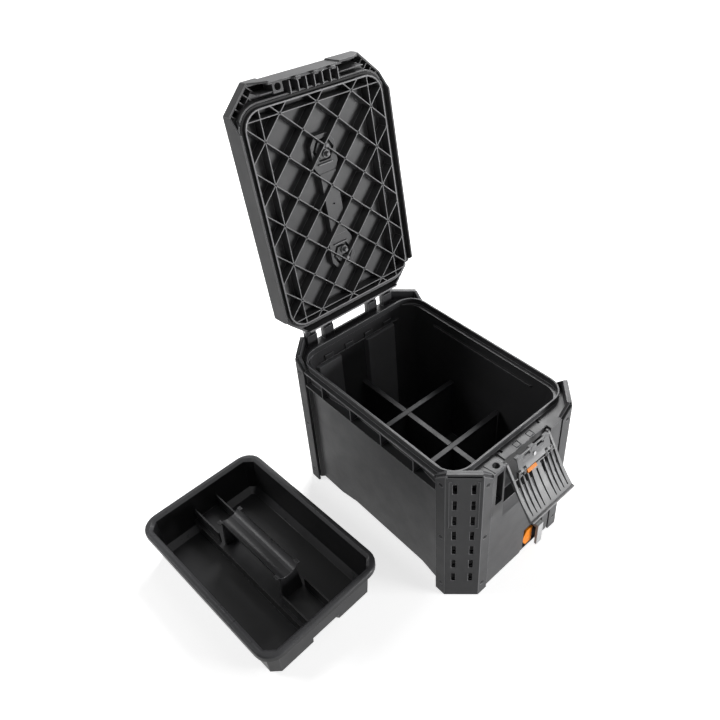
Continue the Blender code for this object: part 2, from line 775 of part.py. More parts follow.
def rails():
    zs = (0.0, BASE_CLEARANCE + OVERLAP)
    parts = []
    for side in SIDES:
        x = side * RAIL_SPACING / 2
        xs = (x - RAIL_WIDTH / 2, x + RAIL_WIDTH / 2)
        parts.append(block("rail", xs, (-RAIL_LENGTH / 2, RAIL_LENGTH / 2), zs))
    across = (-RAIL_SPACING / 2, RAIL_SPACING / 2)
    parts.append(block("cross_rail", across, (-RAIL_WIDTH / 2, RAIL_WIDTH / 2), zs))
    return parts


def front_skirt():
    """Strips under the front wall, on both sides of the stack lock."""
    ys = (FRONT_Y + SKIRT_INSET, FRONT_Y + SKIRT_INSET + SKIRT_THICKNESS)
    zs = (SKIRT_CLEARANCE, BASE_CLEARANCE + OVERLAP)
    return [
        block("skirt", (OVERLAP - POST_END_X, LOCK_LEFT - HOLLOW_RIB), ys, zs),
        block("skirt", (LOCK_RIGHT + HOLLOW_RIB, POST_END_X - OVERLAP), ys, zs),
    ]


def hinge_spans():
    """Middle of each hinge group, and the middles of its two box ears."""
    offset = (HINGE_LUG_WIDTH + HINGE_EAR_WIDTH) / 2 + RUNNING_GAP
    spans = []
    for middle in (-HINGE_OUTER_X, -HINGE_INNER_X, HINGE_INNER_X, HINGE_OUTER_X):
        spans.append((middle, (middle - offset, middle + offset)))
    return spans


def hinge_ears():
    outline = eye((HINGE_Y, HINGE_Z), HINGE_EYE_RADIUS, LEDGE_HEIGHT - OVERLAP, HINGE_EYE_RADIUS)
    half = HINGE_EAR_WIDTH / 2
    return [
        prism("hinge_ear", outline, x - half, x + half, "X") for _, ears in hinge_spans() for x in ears
    ]


def hinge_gussets():
    root = REAR_WALL_Y - OVERLAP
    top = LEDGE_HEIGHT - OVERLAP
    outline = [(root, LEDGE_HEIGHT - GUSSET_DROP), (REAR_WALL_Y + GUSSET_REACH, top), (root, top)]
    half = GUSSET_THICKNESS / 2
    return [prism("gusset", outline, x - half, x + half, "X") for x in (-HINGE_INNER_X, 0.0, HINGE_INNER_X)]


def post_hollow(quarter):
    """A strip behind a corner's chamfer, open below."""
    sx, sy = quarter
    x = POST_X - HOLLOW_WALL
    y = POST_Y - HOLLOW_WALL
    outer = POST_X + POST_Y - POST_LEG - HOLLOW_WALL * math.sqrt(2)
    inner = outer - POST_HOLLOW_WIDTH * math.sqrt(2)
    corners = [(x, inner - x), (x, outer - x), (outer - y, y), (inner - y, y)]
    outline = [(sx * u, sy * v) for u, v in corners]
    return prism("post_hollow", outline, BASE_CLEARANCE - CUT_MARGIN, LEDGE_HEIGHT - POST_HOLLOW_DROP)


def front_hollows():
    left = HOLLOW_WALL - POST_END_X
    right = LOCK_LEFT - HOLLOW_RIB
    width = (right - left - HOLLOW_RIB * (HOLLOW_CELLS - 1)) / HOLLOW_CELLS
    ys = (FRONT_Y + HOLLOW_WALL, CAVITY_FRONT - HOLLOW_WALL)
    zs = (BASE_CLEARANCE - CUT_MARGIN, FRONT_HOLLOW_TOP)
    cells = []
    for step in range(HOLLOW_CELLS):
        start = left + (width + HOLLOW_RIB) * step
        cells.append(block("front_hollow", (start, start + width), ys, zs))
    return cells


def latch_recess():
    outside = FRONT_Y - CUT_MARGIN
    top = LEDGE_HEIGHT + CUT_MARGIN
    outline = [
        (outside, top),
        (outside, RECESS_LOW),
        (FRONT_Y, RECESS_LOW),
        (RECESS_BACK_Y, RECESS_LOW + LATCH_RECESS_SLOPE),
        (RECESS_BACK_Y, top),
    ]
    return prism("latch_recess", outline, -LATCH_RECESS_HALF, LATCH_RECESS_HALF, "X")


def padlock_cuts():
    xs = (PADLOCK_X - PADLOCK_SLOT_WIDTH / 2, PADLOCK_X + PADLOCK_SLOT_WIDTH / 2)
    ys = (FRONT_Y - CUT_MARGIN, FRONT_Y + PADLOCK_SLOT_DEPTH)
    top = LEDGE_HEIGHT - PADLOCK_BRIDGE
    at = (PADLOCK_X, PADLOCK_Y, LEDGE_HEIGHT)
    hole = rod("padlock_hole", "Z", at, -PADLOCK_BRIDGE - CUT_MARGIN, CUT_MARGIN, PADLOCK_RADIUS)
    return [block("padlock_slot", xs, ys, (top - PADLOCK_SLOT_HEIGHT, top)), hole]


def lock_pocket():
    ys = (FRONT_Y - CUT_MARGIN, FRONT_Y + LOCK_DEPTH)
    return block("lock_pocket", (LOCK_LEFT, LOCK_RIGHT), ys, (LOCK_LOW, LOCK_HIGH))


def box_pin_holes():
    lever_at = (0.0, LEVER_PIVOT_Y, LEVER_PIVOT_Z)
    lever_far = LATCH_RECESS_HALF + LEVER_PIN_EMBED + FIT_GAP
    lock_at = (0.0, LOCK_PIVOT_Y, LOCK_PIVOT_Z)
    lock_ends = (LOCK_LEFT - LOCK_PIN_EMBED - FIT_GAP, LOCK_RIGHT + LOCK_PIN_EMBED + FIT_GAP)
    hinge_at = (0.0, HINGE_Y, HINGE_Z)
    return [
        rod("lever_pin_hole", "X", lever_at, -lever_far, lever_far, LEVER_PIN_RADIUS + FIT_GAP),
        rod("lock_pin_hole", "X", lock_at, *lock_ends, LOCK_PIN_RADIUS + FIT_GAP),
        rod("hinge_hole", "X", hinge_at, -HALF_WIDTH, HALF_WIDTH, HINGE_PIN_RADIUS + FIT_GAP),
    ]


def guard_slots(depths, quarter=(1, 1)):
    """Cutters for a corner's slots, between two depths from the guard's face."""
    middle_x = HALF_WIDTH - CORNER_LEG / 2
    middle_y = HALF_DEPTH - CORNER_LEG / 2
    slots = []
    for side in SIDES:
        middle = side * SLOT_COLUMN_OFFSET
        along = (middle - SLOT_WIDTH / 2, middle + SLOT_WIDTH / 2)
        for row in range(SLOT_ROWS):
            z = SLOT_LOW + SLOT_PITCH * row
            zs = (z - SLOT_HEIGHT / 2, z + SLOT_HEIGHT / 2)
            slots.append(chamfer_block("slot", middle_x, middle_y, along, depths, zs, quarter))
    return slots


def post_slots():
    depths = (GUARD_THICKNESS - CUT_MARGIN, GUARD_OFFSET + HOLLOW_WALL + POST_HOLLOW_WIDTH / 2)
    return [slot for quarter in QUARTERS.values() for slot in guard_slots(depths, quarter)]


def guard_screw_holes():
    radius = SCREW_RADIUS + FIT_GAP
    return [
        rod("screw_hole", axis, at, CUT_MARGIN * out, -SCREW_HOLE * out, radius, SCREW_SIDES)
        for quarter in QUARTERS.values()
        for axis, out, at in screw_places(quarter)
    ]


def box_body():
    body = prism("box_body", box_outline(), BASE_CLEARANCE, LEDGE_HEIGHT - OVERLAP)
    ledge = prism("ledge", ledge_outline(), LEDGE_HEIGHT - LEDGE_THICKNESS, LEDGE_HEIGHT)
    fuse(body, ledge, *side_band(-1), *side_band(1), *hinge_gussets())
    cut(body, cavity())
    fuse(body, lip())
    fuse(body, *[horn(quarter) for quarter in QUARTERS.values()])
    fuse(body, *hinge_ears(), *rails(), *front_skirt())
    cut(body, *[post_hollow(quarter) for quarter in QUARTERS.values()], *front_hollows())
    cut(body, latch_recess(), *padlock_cuts(), lock_pocket())
    cut(body, *box_pin_holes())
    cut(body, *guard_screw_holes())
    return cut(body, *post_slots())


# Corner guards


def guard_bores():
    """Counterbored holes for the screws of the rear right corner."""
    profile = [
        (CUT_MARGIN, SCREW_HEAD_RADIUS + RUNNING_GAP),
        (-SCREW_SEAT, SCREW_HEAD_RADIUS + RUNNING_GAP),
        (-SCREW_SEAT, SCREW_RADIUS + FIT_GAP),
        (-GUARD_THICKNESS - CUT_MARGIN, SCREW_RADIUS + FIT_GAP),
    ]
    return [turned("guard_bore", axis, at, profile, SCREW_SIDES) for axis, _, at in screw_places((1, 1))]


def guard():
    """The rear right guard, which the other corners mirror."""
    end_high = LEDGE_HEIGHT - GUARD_FLANGE_DROP
    made = corner_strip("guard", 0.0, GUARD_THICKNESS, 0.0, end_high, GUARD_TOP, FLANGE_END_X, FLANGE_END_Y)
    cut(made, *guard_slots((-CUT_MARGIN, GUARD_THICKNESS + CUT_MARGIN)))
    return cut(made, *guard_bores())


def guard_screw(axis, out, at):
    neck = FIT_GAP + SCREW_HEAD_HEIGHT
    steps = [(FIT_GAP, SCREW_HEAD_RADIUS), (neck, SCREW_HEAD_RADIUS), (neck, SCREW_RADIUS)]
    steps.append((neck + SCREW_LENGTH, SCREW_RADIUS))
    profile = [(-out * depth, radius) for depth, radius in steps]
    return turned("guard_screw", axis, at, profile, SCREW_SIDES)


# Lid


def seal_ridges():
    """The two ridges that guide the lip, and the land between them that the seal sits on."""
    half = RIDGE_THICKNESS / 2
    top = LID_CEILING + OVERLAP
    inside = lip_outline(-INNER_RIDGE_OFFSET)
    outside = lip_outline(OUTER_RIDGE_OFFSET)
    inner_faces = (lip_outline(half - INNER_RIDGE_OFFSET), lip_outline(-half - INNER_RIDGE_OFFSET))
    outer_faces = (lip_outline(OUTER_RIDGE_OFFSET + half), lip_outline(OUTER_RIDGE_OFFSET - half))
    return [
        ring("inner_ridge", *inner_faces, RIDGE_LOW, top),
        ring("outer_ridge", *outer_faces, LIP_TOP + OUTER_RIDGE_GAP, top),
        ring("seal_land", outside, inside, SEAL_SEAT, top),
    ]


def diagonal_rib(direction, offset):
    """A rib along x + direction * y = offset, long enough to cross the lid."""
    along = Vector((direction, -1)).normalized()
    across = Vector((1, direction)).normalized()
    middle = across * (offset / math.sqrt(2))
    reach = along * DEPTH
    half = across * (RIB_THICKNESS / 2)
    corners = [middle - reach - half, middle - reach + half, middle + reach + half, middle + reach - half]
    return prism("diagonal_rib", [tuple(corner) for corner in corners], RIDGE_LOW, LID_CEILING + OVERLAP)


def lattice():
    zs = (RIDGE_LOW, LID_CEILING + OVERLAP)
    half = RIB_THICKNESS / 2
    ribs = []
    for direction in SIDES:
        for step in range(RIB_LINES):
            for side in SIDES:
                ribs.append(diagonal_rib(direction, side * RIB_STEP * (2 * step + 1)))
    for side in SIDES:
        x = side * SIDE_RIB_STEPS * RIB_STEP
        y = side * END_RIB_STEPS * RIB_STEP
        ribs.append(block("side_rib", (x - half, x + half), (-DEPTH, DEPTH), zs))
        ribs.append(block("end_rib", (-WIDTH, WIDTH), (y - half, y + half), zs))
    whole = fuse(ribs[0], *ribs[1:])
    inside = lip_outline(-INNER_RIDGE_OFFSET)
    return clip(whole, prism("lattice_edge", inside, zs[0] - CUT_MARGIN, zs[1] + CUT_MARGIN))


def front_ribs():
    half = FRONT_RIB_THICKNESS / 2
    ys = (STRIKE_BACK_Y + RUNNING_GAP, LIP_CENTRE_Y - LIP_HALF_DEPTH - OUTER_RIDGE_OFFSET)
    zs = (LID_LOW + LID_SEAT_GAP, LID_CEILING + OVERLAP)
    ribs = []
    for step in range(FRONT_RIBS):
        x = FRONT_RIB_FIRST_X + FRONT_RIB_PITCH * step
        ribs.append(block("front_rib", (x - half, x + half), ys, zs))
    return ribs


def latch_wall():
    """The front wall's inside where its outer face is set back for the latch."""
    xs = (FRONT_SETBACK_LEFT - LID_WALL, FRONT_SETBACK_RIGHT + LID_WALL)
    ys = (LID_FRONT + LID_WALL - OVERLAP, LATCH_WALL_INSIDE)
    return block("latch_wall", xs, ys, (LID_LOW, LID_CEILING + OVERLAP))


def front_setback():
    ys = (LID_FRONT - CUT_MARGIN, LID_FRONT + FRONT_SETBACK)
    zs = (LID_LOW - CUT_MARGIN, LID_TOP + CUT_MARGIN)
    return block("front_setback", (FRONT_SETBACK_LEFT, FRONT_SETBACK_RIGHT), ys, zs)


def padlock_boss():
    half = PADLOCK_BOSS / 2
    xs = (PADLOCK_X - half, PADLOCK_X + half)
    ys = (LATCH_WALL_INSIDE - OVERLAP, PADLOCK_Y + half)
    return block("padlock_boss", xs, ys, (LID_LOW, LID_CEILING + OVERLAP))


def lid_lugs():
    root = LID_REAR - OVERLAP
    outline = eye((HINGE_Y, HINGE_Z), HINGE_EYE_RADIUS, root, HINGE_EYE_RADIUS, upright=False)
    half = HINGE_LUG_WIDTH / 2
    return [prism("lid_lug", outline, x - half, x + half, "X") for x, _ in hinge_spans()]


def horn_room(quarter):
    far = GUARD_OFFSET + HORN_THICKNESS + LID_HORN_GAP
    low = LID_LOW - CUT_MARGIN
    end_high = LEDGE_HEIGHT + HORN_END_RISE + LID_HORN_GAP
    high = HORN_TOP + LID_HORN_GAP
    ends = (POST_END_X - LID_HORN_GAP, POST_END_Y - LID_HORN_GAP)
    return corner_strip("horn_room", -CUT_MARGIN, far, low, end_high, high, *ends, quarter)


def lid_chamfer_middle(quarter):
    """Middle of a chamfer of the lid, before it is mirrored to its quarter."""
    return (
        LID_HALF_WIDTH - LID_CORNER_LEG / 2,
        LID_HALF_DEPTH - LID_CORNER_LEG / 2 + quarter[1] * LID_CENTRE_Y,
    )


def corner_raise(quarter):
    """Room under a rear corner's wall, which swings over the lip."""
    reach = LID_CORNER_LEG / math.sqrt(2) + CUT_MARGIN
    depths = (-CUT_MARGIN, LID_WALL + FIT_GAP)
    zs = (LID_LOW - CUT_MARGIN, LIP_TOP + OUTER_RIDGE_GAP)
    return chamfer_block("corner_raise", *lid_chamfer_middle(quarter), (-reach, reach), depths, zs, quarter)


def corner_pockets(quarter):
    """Cells in the lid's rim behind a chamfer, open below."""
    middle_x, middle_y = lid_chamfer_middle(quarter)
    depths = (LID_WALL, LID_WALL + CORNER_POCKET_REACH)
    zs = (LID_CEILING - CUT_MARGIN, LID_SHOULDER)
    pockets = []
    for step in range(CORNER_POCKETS):
        middle = CORNER_POCKET_PITCH * (step - (CORNER_POCKETS - 1) / 2)
        along = (middle - CORNER_POCKET_WIDTH / 2, middle + CORNER_POCKET_WIDTH / 2)
        pockets.append(chamfer_block("corner_pocket", middle_x, middle_y, along, depths, zs, quarter))
    return pockets


def lid_holes():
    padlock_at = (PADLOCK_X, PADLOCK_Y, 0.0)
    hinge_at = (0.0, HINGE_Y, HINGE_Z)
    holes = [
        rod("padlock_hole", "Z", padlock_at, LID_LOW - CUT_MARGIN, LID_TOP + CUT_MARGIN, PADLOCK_RADIUS),
        rod("hinge_hole", "X", hinge_at, -HALF_WIDTH, HALF_WIDTH, HINGE_PIN_RADIUS + RUNNING_GAP),
    ]
    radius = STRIKE_SCREW_RADIUS + FIT_GAP
    depth = -STRIKE_SCREW_BITE - FIT_GAP
    for x in STRIKE_SCREW_XS:
        at = (x, LATCH_WALL_INSIDE, STRIKE_LOW + STRIKE_SCREW_RISE)
        holes.append(rod("strike_hole", "Y", at, CUT_MARGIN, depth, radius, SCREW_SIDES))
    return holes


def lid_shell():
    outline = lid_outline(0.0)
    top_outline = lid_outline(LID_BEVEL_INSET)
    shell = tapered("lid_shell", [(outline, LID_LOW), (outline, LID_SHOULDER), (top_outline, LID_TOP)])
    inside = prism("lid_inside", lid_outline(LID_WALL), LID_LOW - CUT_MARGIN, LID_CEILING)
    cut(shell, inside)
    cut(shell, prism("lid_top", lid_outline(LID_RIM_WIDTH), LID_PANEL_TOP, LID_TOP + CUT_MARGIN))
    fuse(shell, lattice(), *seal_ridges())
    fuse(shell, *front_ribs(), latch_wall(), padlock_boss(), *lid_lugs())
    cut(shell, front_setback(), *lid_holes())
    rear_ys = (LID_REAR - LID_WALL - CUT_MARGIN, LID_REAR + CUT_MARGIN)
    rear_zs = (LID_LOW - CUT_MARGIN, LID_LOW + LID_REAR_RAISE)
    cut(shell, block("rear_raise", (-WIDTH, WIDTH), rear_ys, rear_zs))
    cut(shell, corner_raise(QUARTERS["rear_left"]), corner_raise(QUARTERS["rear_right"]))
    cut(shell, *[horn_room(quarter) for quarter in QUARTERS.values()])
    return cut(shell, *[pocket for quarter in QUARTERS.values() for pocket in corner_pockets(quarter)])


def lid_seal():
    half = SEAL_WIDTH / 2
    return ring("lid_seal", lip_outline(half), lip_outline(-half), SEAL_LOW, SEAL_LOW + SEAL_HEIGHT)


def hinge_pin(side):
    reach = HINGE_LUG_WIDTH / 2 + RUNNING_GAP + HINGE_EAR_WIDTH
    ends = (side * (HINGE_INNER_X - reach), side * (HINGE_OUTER_X + reach))
    return rod("hinge_pin", "X", (0.0, HINGE_Y, HINGE_Z), *ends, HINGE_PIN_RADIUS)


# Latch


def lever_profile():
    """The flap seen from its end, with a hollow outer face and a lip along its free edge, as (y, z)."""
    face = LEVER_THICKNESS / 2
    lip_top = LEVER_LIP_HEIGHT - LEVER_LENGTH
    points = []
    for step in range(ARC_STEPS + 1):
        part = step / ARC_STEPS
        y = LEVER_HOLLOW * math.sin(math.pi * part) - face
        points.append((y, -LEVER_TOP + (lip_top + LEVER_TOP) * part))
    lip_y = -face - LEVER_LIP_OUT
    points += [(lip_y, LEVER_LIP_HEIGHT / 2 - LEVER_LENGTH), (lip_y, -LEVER_LENGTH)]
    points += [(face, -LEVER_LENGTH), (face, -LEVER_TOP)]
    return [(LEVER_PIVOT_Y + y, LEVER_PIVOT_Z + z) for y, z in points]


def lever_grooves():
    bottom = LEVER_PIVOT_Y - LEVER_THICKNESS / 2 + LEVER_HOLLOW + LEVER_GROOVE_DEPTH
    ys = (LEVER_PIVOT_Y - LEVER_THICKNESS / 2 - CUT_MARGIN, bottom)
    zs = (LEVER_PIVOT_Z - LEVER_LENGTH + LEVER_GROOVE_END, LEVER_PIVOT_Z - LEVER_TOP - LEVER_GROOVE_TOP)
    broad = LEVER_STRIP + LEVER_GROOVE
    narrow = LEVER_STRIP_NARROW + LEVER_GROOVE
    middles = [0.0]
    for side in SIDES:
        middles += [side * (broad + narrow * step) for step in range(LEVER_NARROW_GROOVES + 1)]
    half = LEVER_GROOVE / 2
    return [block("lever_groove", (x - half, x + half), ys, zs) for x in middles]


def lever_arms():
    root = LEVER_PIVOT_Z - LEVER_TOP - LEVER_ARM_ROOT
    outline = eye((LEVER_PIVOT_Y, LEVER_PIVOT_Z), LEVER_ARM_RADIUS, root, LEVER_THICKNESS / 2 - OVERLAP)
    outer = LEVER_HALF_WIDTH - FIT_GAP
    inner = LEVER_HALF_WIDTH - LEVER_ARM
    return [prism("lever_arm", outline, side * inner, side * outer, "X") for side in SIDES]


def lever_lugs():
    """Lugs on both sides of each of the hook plate's lugs."""
    points = []
    for step in range(ROUND_SIDES // 2 + 1):
        angle = math.pi * step / (ROUND_SIDES // 2)
        y = HOOK_Y + HOOK_EYE_RADIUS * math.cos(angle)
        points.append((y, HOOK_Z + HOOK_EYE_RADIUS * math.sin(angle)))
    top = LEVER_PIVOT_Z - LEVER_TOP
    root = top - LEVER_LUG_ROOT
    front = LEVER_PIVOT_Y - LEVER_THICKNESS / 2 + LEVER_HOLLOW
    points += [(front, root), (LEVER_PIVOT_Y, root), (LEVER_PIVOT_Y, top - OVERLAP)]
    offset = (HOOK_LUG_WIDTH + LEVER_LUG_WIDTH) / 2 + RUNNING_GAP
    half = LEVER_LUG_WIDTH / 2
    lugs = []
    for side in SIDES:
        for middle in (HOOK_LUG_X - offset, HOOK_LUG_X + offset):
            lugs.append(prism("lever_lug", points, side * middle - half, side * middle + half, "X"))
    return lugs


def tab_notch():
    half = TAB_WIDTH / 2 + RUNNING_GAP
    reach = LEVER_THICKNESS / 2 + CUT_MARGIN
    top = LEVER_PIVOT_Z - LEVER_TOP
    zs = (top + TAB_RISE - TAB_HEIGHT - RUNNING_GAP, top + CUT_MARGIN)
    ys = (LEVER_PIVOT_Y - reach, LEVER_PIVOT_Y + reach)
    return block("tab_notch", (TAB_X - half, TAB_X + half), ys, zs)


def latch_lever():
    lever = prism("latch_lever", lever_profile(), -LEVER_HALF_WIDTH, LEVER_HALF_WIDTH, "X")
    cut(lever, *lever_grooves())
    fuse(lever, *lever_arms(), *lever_lugs())
    lever_at = (0.0, LEVER_PIVOT_Y, LEVER_PIVOT_Z)
    hook_at = (0.0, HOOK_Y, HOOK_Z)
    return cut(
        lever,
        tab_notch(),
        rod("arm_hole", "X", lever_at, -HALF_WIDTH, HALF_WIDTH, LEVER_PIN_RADIUS + RUNNING_GAP),
        rod("hook_hole", "X", hook_at, -HALF_WIDTH, HALF_WIDTH, HOOK_PIN_RADIUS + FIT_GAP),
    )


def latch_lever_pin(side):
    at = (0.0, LEVER_PIVOT_Y, LEVER_PIVOT_Z)
    ends = (LEVER_HALF_WIDTH - LEVER_ARM - FIT_GAP, LATCH_RECESS_HALF + LEVER_PIN_EMBED)
    return rod("lever_pin", "X", at, side * ends[0], side * ends[1], LEVER_PIN_RADIUS)


def latch_hook_pin():
    reach = HOOK_LUG_X + HOOK_LUG_WIDTH / 2 + RUNNING_GAP + LEVER_LUG_WIDTH
    return rod("latch_hook_pin", "X", (0.0, HOOK_Y, HOOK_Z), -reach, reach, HOOK_PIN_RADIUS)


def plate_hooks():
    face = HOOK_Y + PLATE_THICKNESS / 2
    ys = (face - OVERLAP, face + HOOK_REACH)
    zs = (HOOK_Z + PLATE_LENGTH - HOOK_HEIGHT, HOOK_Z + PLATE_LENGTH)
    half = HOOK_WIDTH / 2
    return [block("hook", (x - half, x + half), ys, zs) for x in HOOK_XS]


def plate_windows():
    reach = PLATE_THICKNESS / 2 + CUT_MARGIN
    ys = (HOOK_Y - reach, HOOK_Y + reach)
    zs = (HOOK_Z + WINDOW_RISE, HOOK_Z + WINDOW_RISE + WINDOW_HEIGHT)
    half = WINDOW_WIDTH / 2
    return [block("window", (x - half, x + half), ys, zs) for x in (-WINDOW_X, WINDOW_X)]


def plate_lugs():
    """Eyes round the hook pin: one outside each inner lug of the lever, and a long barrel between these."""
    root = HOOK_Z + PLATE_START + OVERLAP
    outline = eye((HOOK_Y, HOOK_Z), HOOK_EYE_RADIUS, root, PLATE_THICKNESS / 2)
    half = HOOK_LUG_WIDTH / 2
    barrel = HOOK_LUG_X - half - LEVER_LUG_WIDTH - 2 * RUNNING_GAP
    spans = [(-HOOK_LUG_X, half), (0.0, barrel), (HOOK_LUG_X, half)]
    return [prism("plate_lug", outline, x - reach, x + reach, "X") for x, reach in spans]


def latch_hook_plate():
    half = PLATE_THICKNESS / 2
    xs = (-PLATE_HALF_WIDTH, PLATE_HALF_WIDTH)
    zs = (HOOK_Z + PLATE_START, HOOK_Z + PLATE_LENGTH)
    plate = block("latch_hook_plate", xs, (HOOK_Y - half, HOOK_Y + half), zs)
    fuse(plate, *plate_hooks(), *plate_lugs())
    pin_at = (0.0, HOOK_Y, HOOK_Z)
    screw_at = (0.0, HOOK_Y, HOOK_Z + PLATE_SCREW_RISE)
    reach = half + CUT_MARGIN
    return cut(
        plate,
        *plate_windows(),
        rod("hook_hole", "X", pin_at, -HALF_WIDTH, HALF_WIDTH, HOOK_PIN_RADIUS + RUNNING_GAP),
        rod("screw_hole", "Y", screw_at, -reach, reach, PLATE_SCREW_SHANK + FIT_GAP),
    )


def hook_plate_screw():
    at = (0.0, HOOK_Y, HOOK_Z + PLATE_SCREW_RISE)
    neck = -PLATE_THICKNESS / 2 - FIT_GAP
    profile = [
        (neck - PLATE_SCREW_HEAD, PLATE_SCREW_RADIUS),
        (neck, PLATE_SCREW_RADIUS),
        (neck, PLATE_SCREW_SHANK),
        (PLATE_THICKNESS / 2, PLATE_SCREW_SHANK),
    ]
    return turned("hook_plate_screw", "Y", at, profile)


def latch_release_tab():
    half = TAB_WIDTH / 2
    front = LEVER_PIVOT_Y - LEVER_THICKNESS / 2 - TAB_PROUD
    ys = (front, front + TAB_THICKNESS)
    top = LEVER_PIVOT_Z - LEVER_TOP + TAB_RISE
    return block("latch_release_tab", (TAB_X - half, TAB_X + half), ys, (top - TAB_HEIGHT, top))


def lid_strike():
    """A strip inside the lid's front wall, with a footed tongue below the wall for each hook."""
    top = STRIKE_LOW + STRIKE_HEIGHT
    outline = [
        (STRIKE_FOOT_Y, STRIKE_LOW),
        (STRIKE_BACK_Y, STRIKE_LOW),
        (STRIKE_BACK_Y, top),
        (STRIKE_FACE_Y, top),
        (STRIKE_FACE_Y, STRIKE_FOOT_TOP),
        (STRIKE_FOOT_Y, STRIKE_FOOT_TOP),
    ]
    strike = prism("lid_strike", outline, -PLATE_HALF_WIDTH, PLATE_HALF_WIDTH, "X")
    cuts = []
    for x in STRIKE_SCREW_XS:
        at = (x, STRIKE_FACE_Y, STRIKE_LOW + STRIKE_SCREW_RISE)
        reach = STRIKE_THICKNESS + CUT_MARGIN
        cuts.append(rod("hole", "Y", at, -CUT_MARGIN, reach, STRIKE_SCREW_RADIUS + FIT_GAP, SCREW_SIDES))
    ys = (STRIKE_FOOT_Y - CUT_MARGIN, STRIKE_BACK_Y + CUT_MARGIN)
    zs = (STRIKE_LOW - CUT_MARGIN, LID_LOW + STRIKE_BAND_RISE)
    for side in SIDES:
        gap = (side * STRIKE_TONGUE / 2, side * (STRIKE_TONGUE / 2 + STRIKE_GAP_WIDTH))
        cuts.append(block("tongue_gap", gap, ys, zs))
        beyond = (side * (HOOK_OUTER_X + STRIKE_TONGUE / 2), side * (PLATE_HALF_WIDTH + CUT_MARGIN))
        cuts.append(block("end_gap", beyond, ys, zs))
    return cut(strike, *cuts)


def strike_screw(x):
    back = STRIKE_BACK_Y + FIT_GAP
    tip = LATCH_WALL_INSIDE - STRIKE_SCREW_BITE - back
    profile = [
        (STRIKE_SCREW_HEAD, STRIKE_SCREW_HEAD_RADIUS),
        (0.0, STRIKE_SCREW_HEAD_RADIUS),
        (0.0, STRIKE_SCREW_RADIUS),
        (tip, STRIKE_SCREW_RADIUS),
    ]
    at = (x, back, STRIKE_LOW + STRIKE_SCREW_RISE)
    return turned("strike_screw", "Y", at, profile, SCREW_SIDES)


# Stack lock


def stack_lock_tab():
    """A pull bar in front of the box, on an arm that reaches back to its pin."""
    outer = FRONT_Y - LOCK_TAB_OUT
    inner = outer + LOCK_TAB_THICKNESS
    xs = (LOCK_TAB_X - LOCK_TAB_WIDTH / 2, LOCK_TAB_X + LOCK_TAB_WIDTH / 2)
    bar = block("stack_lock_tab", xs, (outer, inner), (LOCK_TAB_LOW, LOCK_TAB_HIGH))
    centre = (LOCK_PIVOT_Y, LOCK_PIVOT_Z)
    outline = eye(centre, LOCK_EYE_RADIUS, inner - OVERLAP, LOCK_EYE_RADIUS, upright=False)
    fuse(bar, prism("arm", outline, *xs, "X"))
    return cut(bar, rod("hole", "X", (0.0, *centre), 0.0, WIDTH, LOCK_PIN_RADIUS + RUNNING_GAP))


def stack_lock_pin():
    ends = (LOCK_LEFT - LOCK_PIN_EMBED, LOCK_RIGHT + LOCK_PIN_EMBED)
    return rod("stack_lock_pin", "X", (0.0, LOCK_PIVOT_Y, LOCK_PIVOT_Z), *ends, LOCK_PIN_RADIUS)


def stack_lock_catch():
    """A plate with one bowed side that slides up and down beside the pull bar, as (x, z)."""
    edge = LOCK_CATCH_RIGHT - LOCK_CATCH_WIDTH
    bow = edge - LOCK_LEFT - LOCK_CATCH_GAP
    points = [(LOCK_CATCH_RIGHT, LOCK_CATCH_LOW), (LOCK_CATCH_RIGHT, LOCK_CATCH_LOW + LOCK_CATCH_HEIGHT)]
    for step in range(ARC_STEPS + 1):
        part = step / ARC_STEPS
        z = LOCK_CATCH_LOW + LOCK_CATCH_HEIGHT * (1 - part)
        points.append((edge - bow * math.sin(math.pi * part), z))
    front = FRONT_Y + LOCK_CATCH_INSET
    return prism("stack_lock_catch", points, front, front + LOCK_CATCH_THICKNESS, "Y")


# Carry handle


def handle_mount(side):
    half = HANDLE_MOUNT_LENGTH / 2
    low = LID_PANEL_TOP + FIT_GAP
    top = LID_PANEL_TOP + HANDLE_MOUNT_HEIGHT
    wide = HANDLE_MOUNT_WIDTH / 2
    narrow = HANDLE_MOUNT_TOP_WIDTH / 2
    outline = both_sides([(wide, low), (wide, HANDLE_AXIS_Z), (narrow, top)])
    middle = side * HANDLE_MOUNT_Y
    mount = prism("handle_mount", outline, middle - half, middle + half, "Y")
    inner = side * (HANDLE_MOUNT_Y - half)
    depth = side * (HANDLE_PIN_BITE + FIT_GAP)
    at = (0.0, inner, HANDLE_AXIS_Z)
    return cut(mount, rod("hole", "Y", at, -side * CUT_MARGIN, depth, HANDLE_PIN_RADIUS + FIT_GAP))


def handle_pin(side):
    start = HANDLE_ARM_Y - HANDLE_ARM
    end = HANDLE_MOUNT_Y - HANDLE_MOUNT_LENGTH / 2 + HANDLE_PIN_BITE
    return rod("handle_pin", "Y", (0.0, 0.0, HANDLE_AXIS_Z), side * start, side * end, HANDLE_PIN_RADIUS)


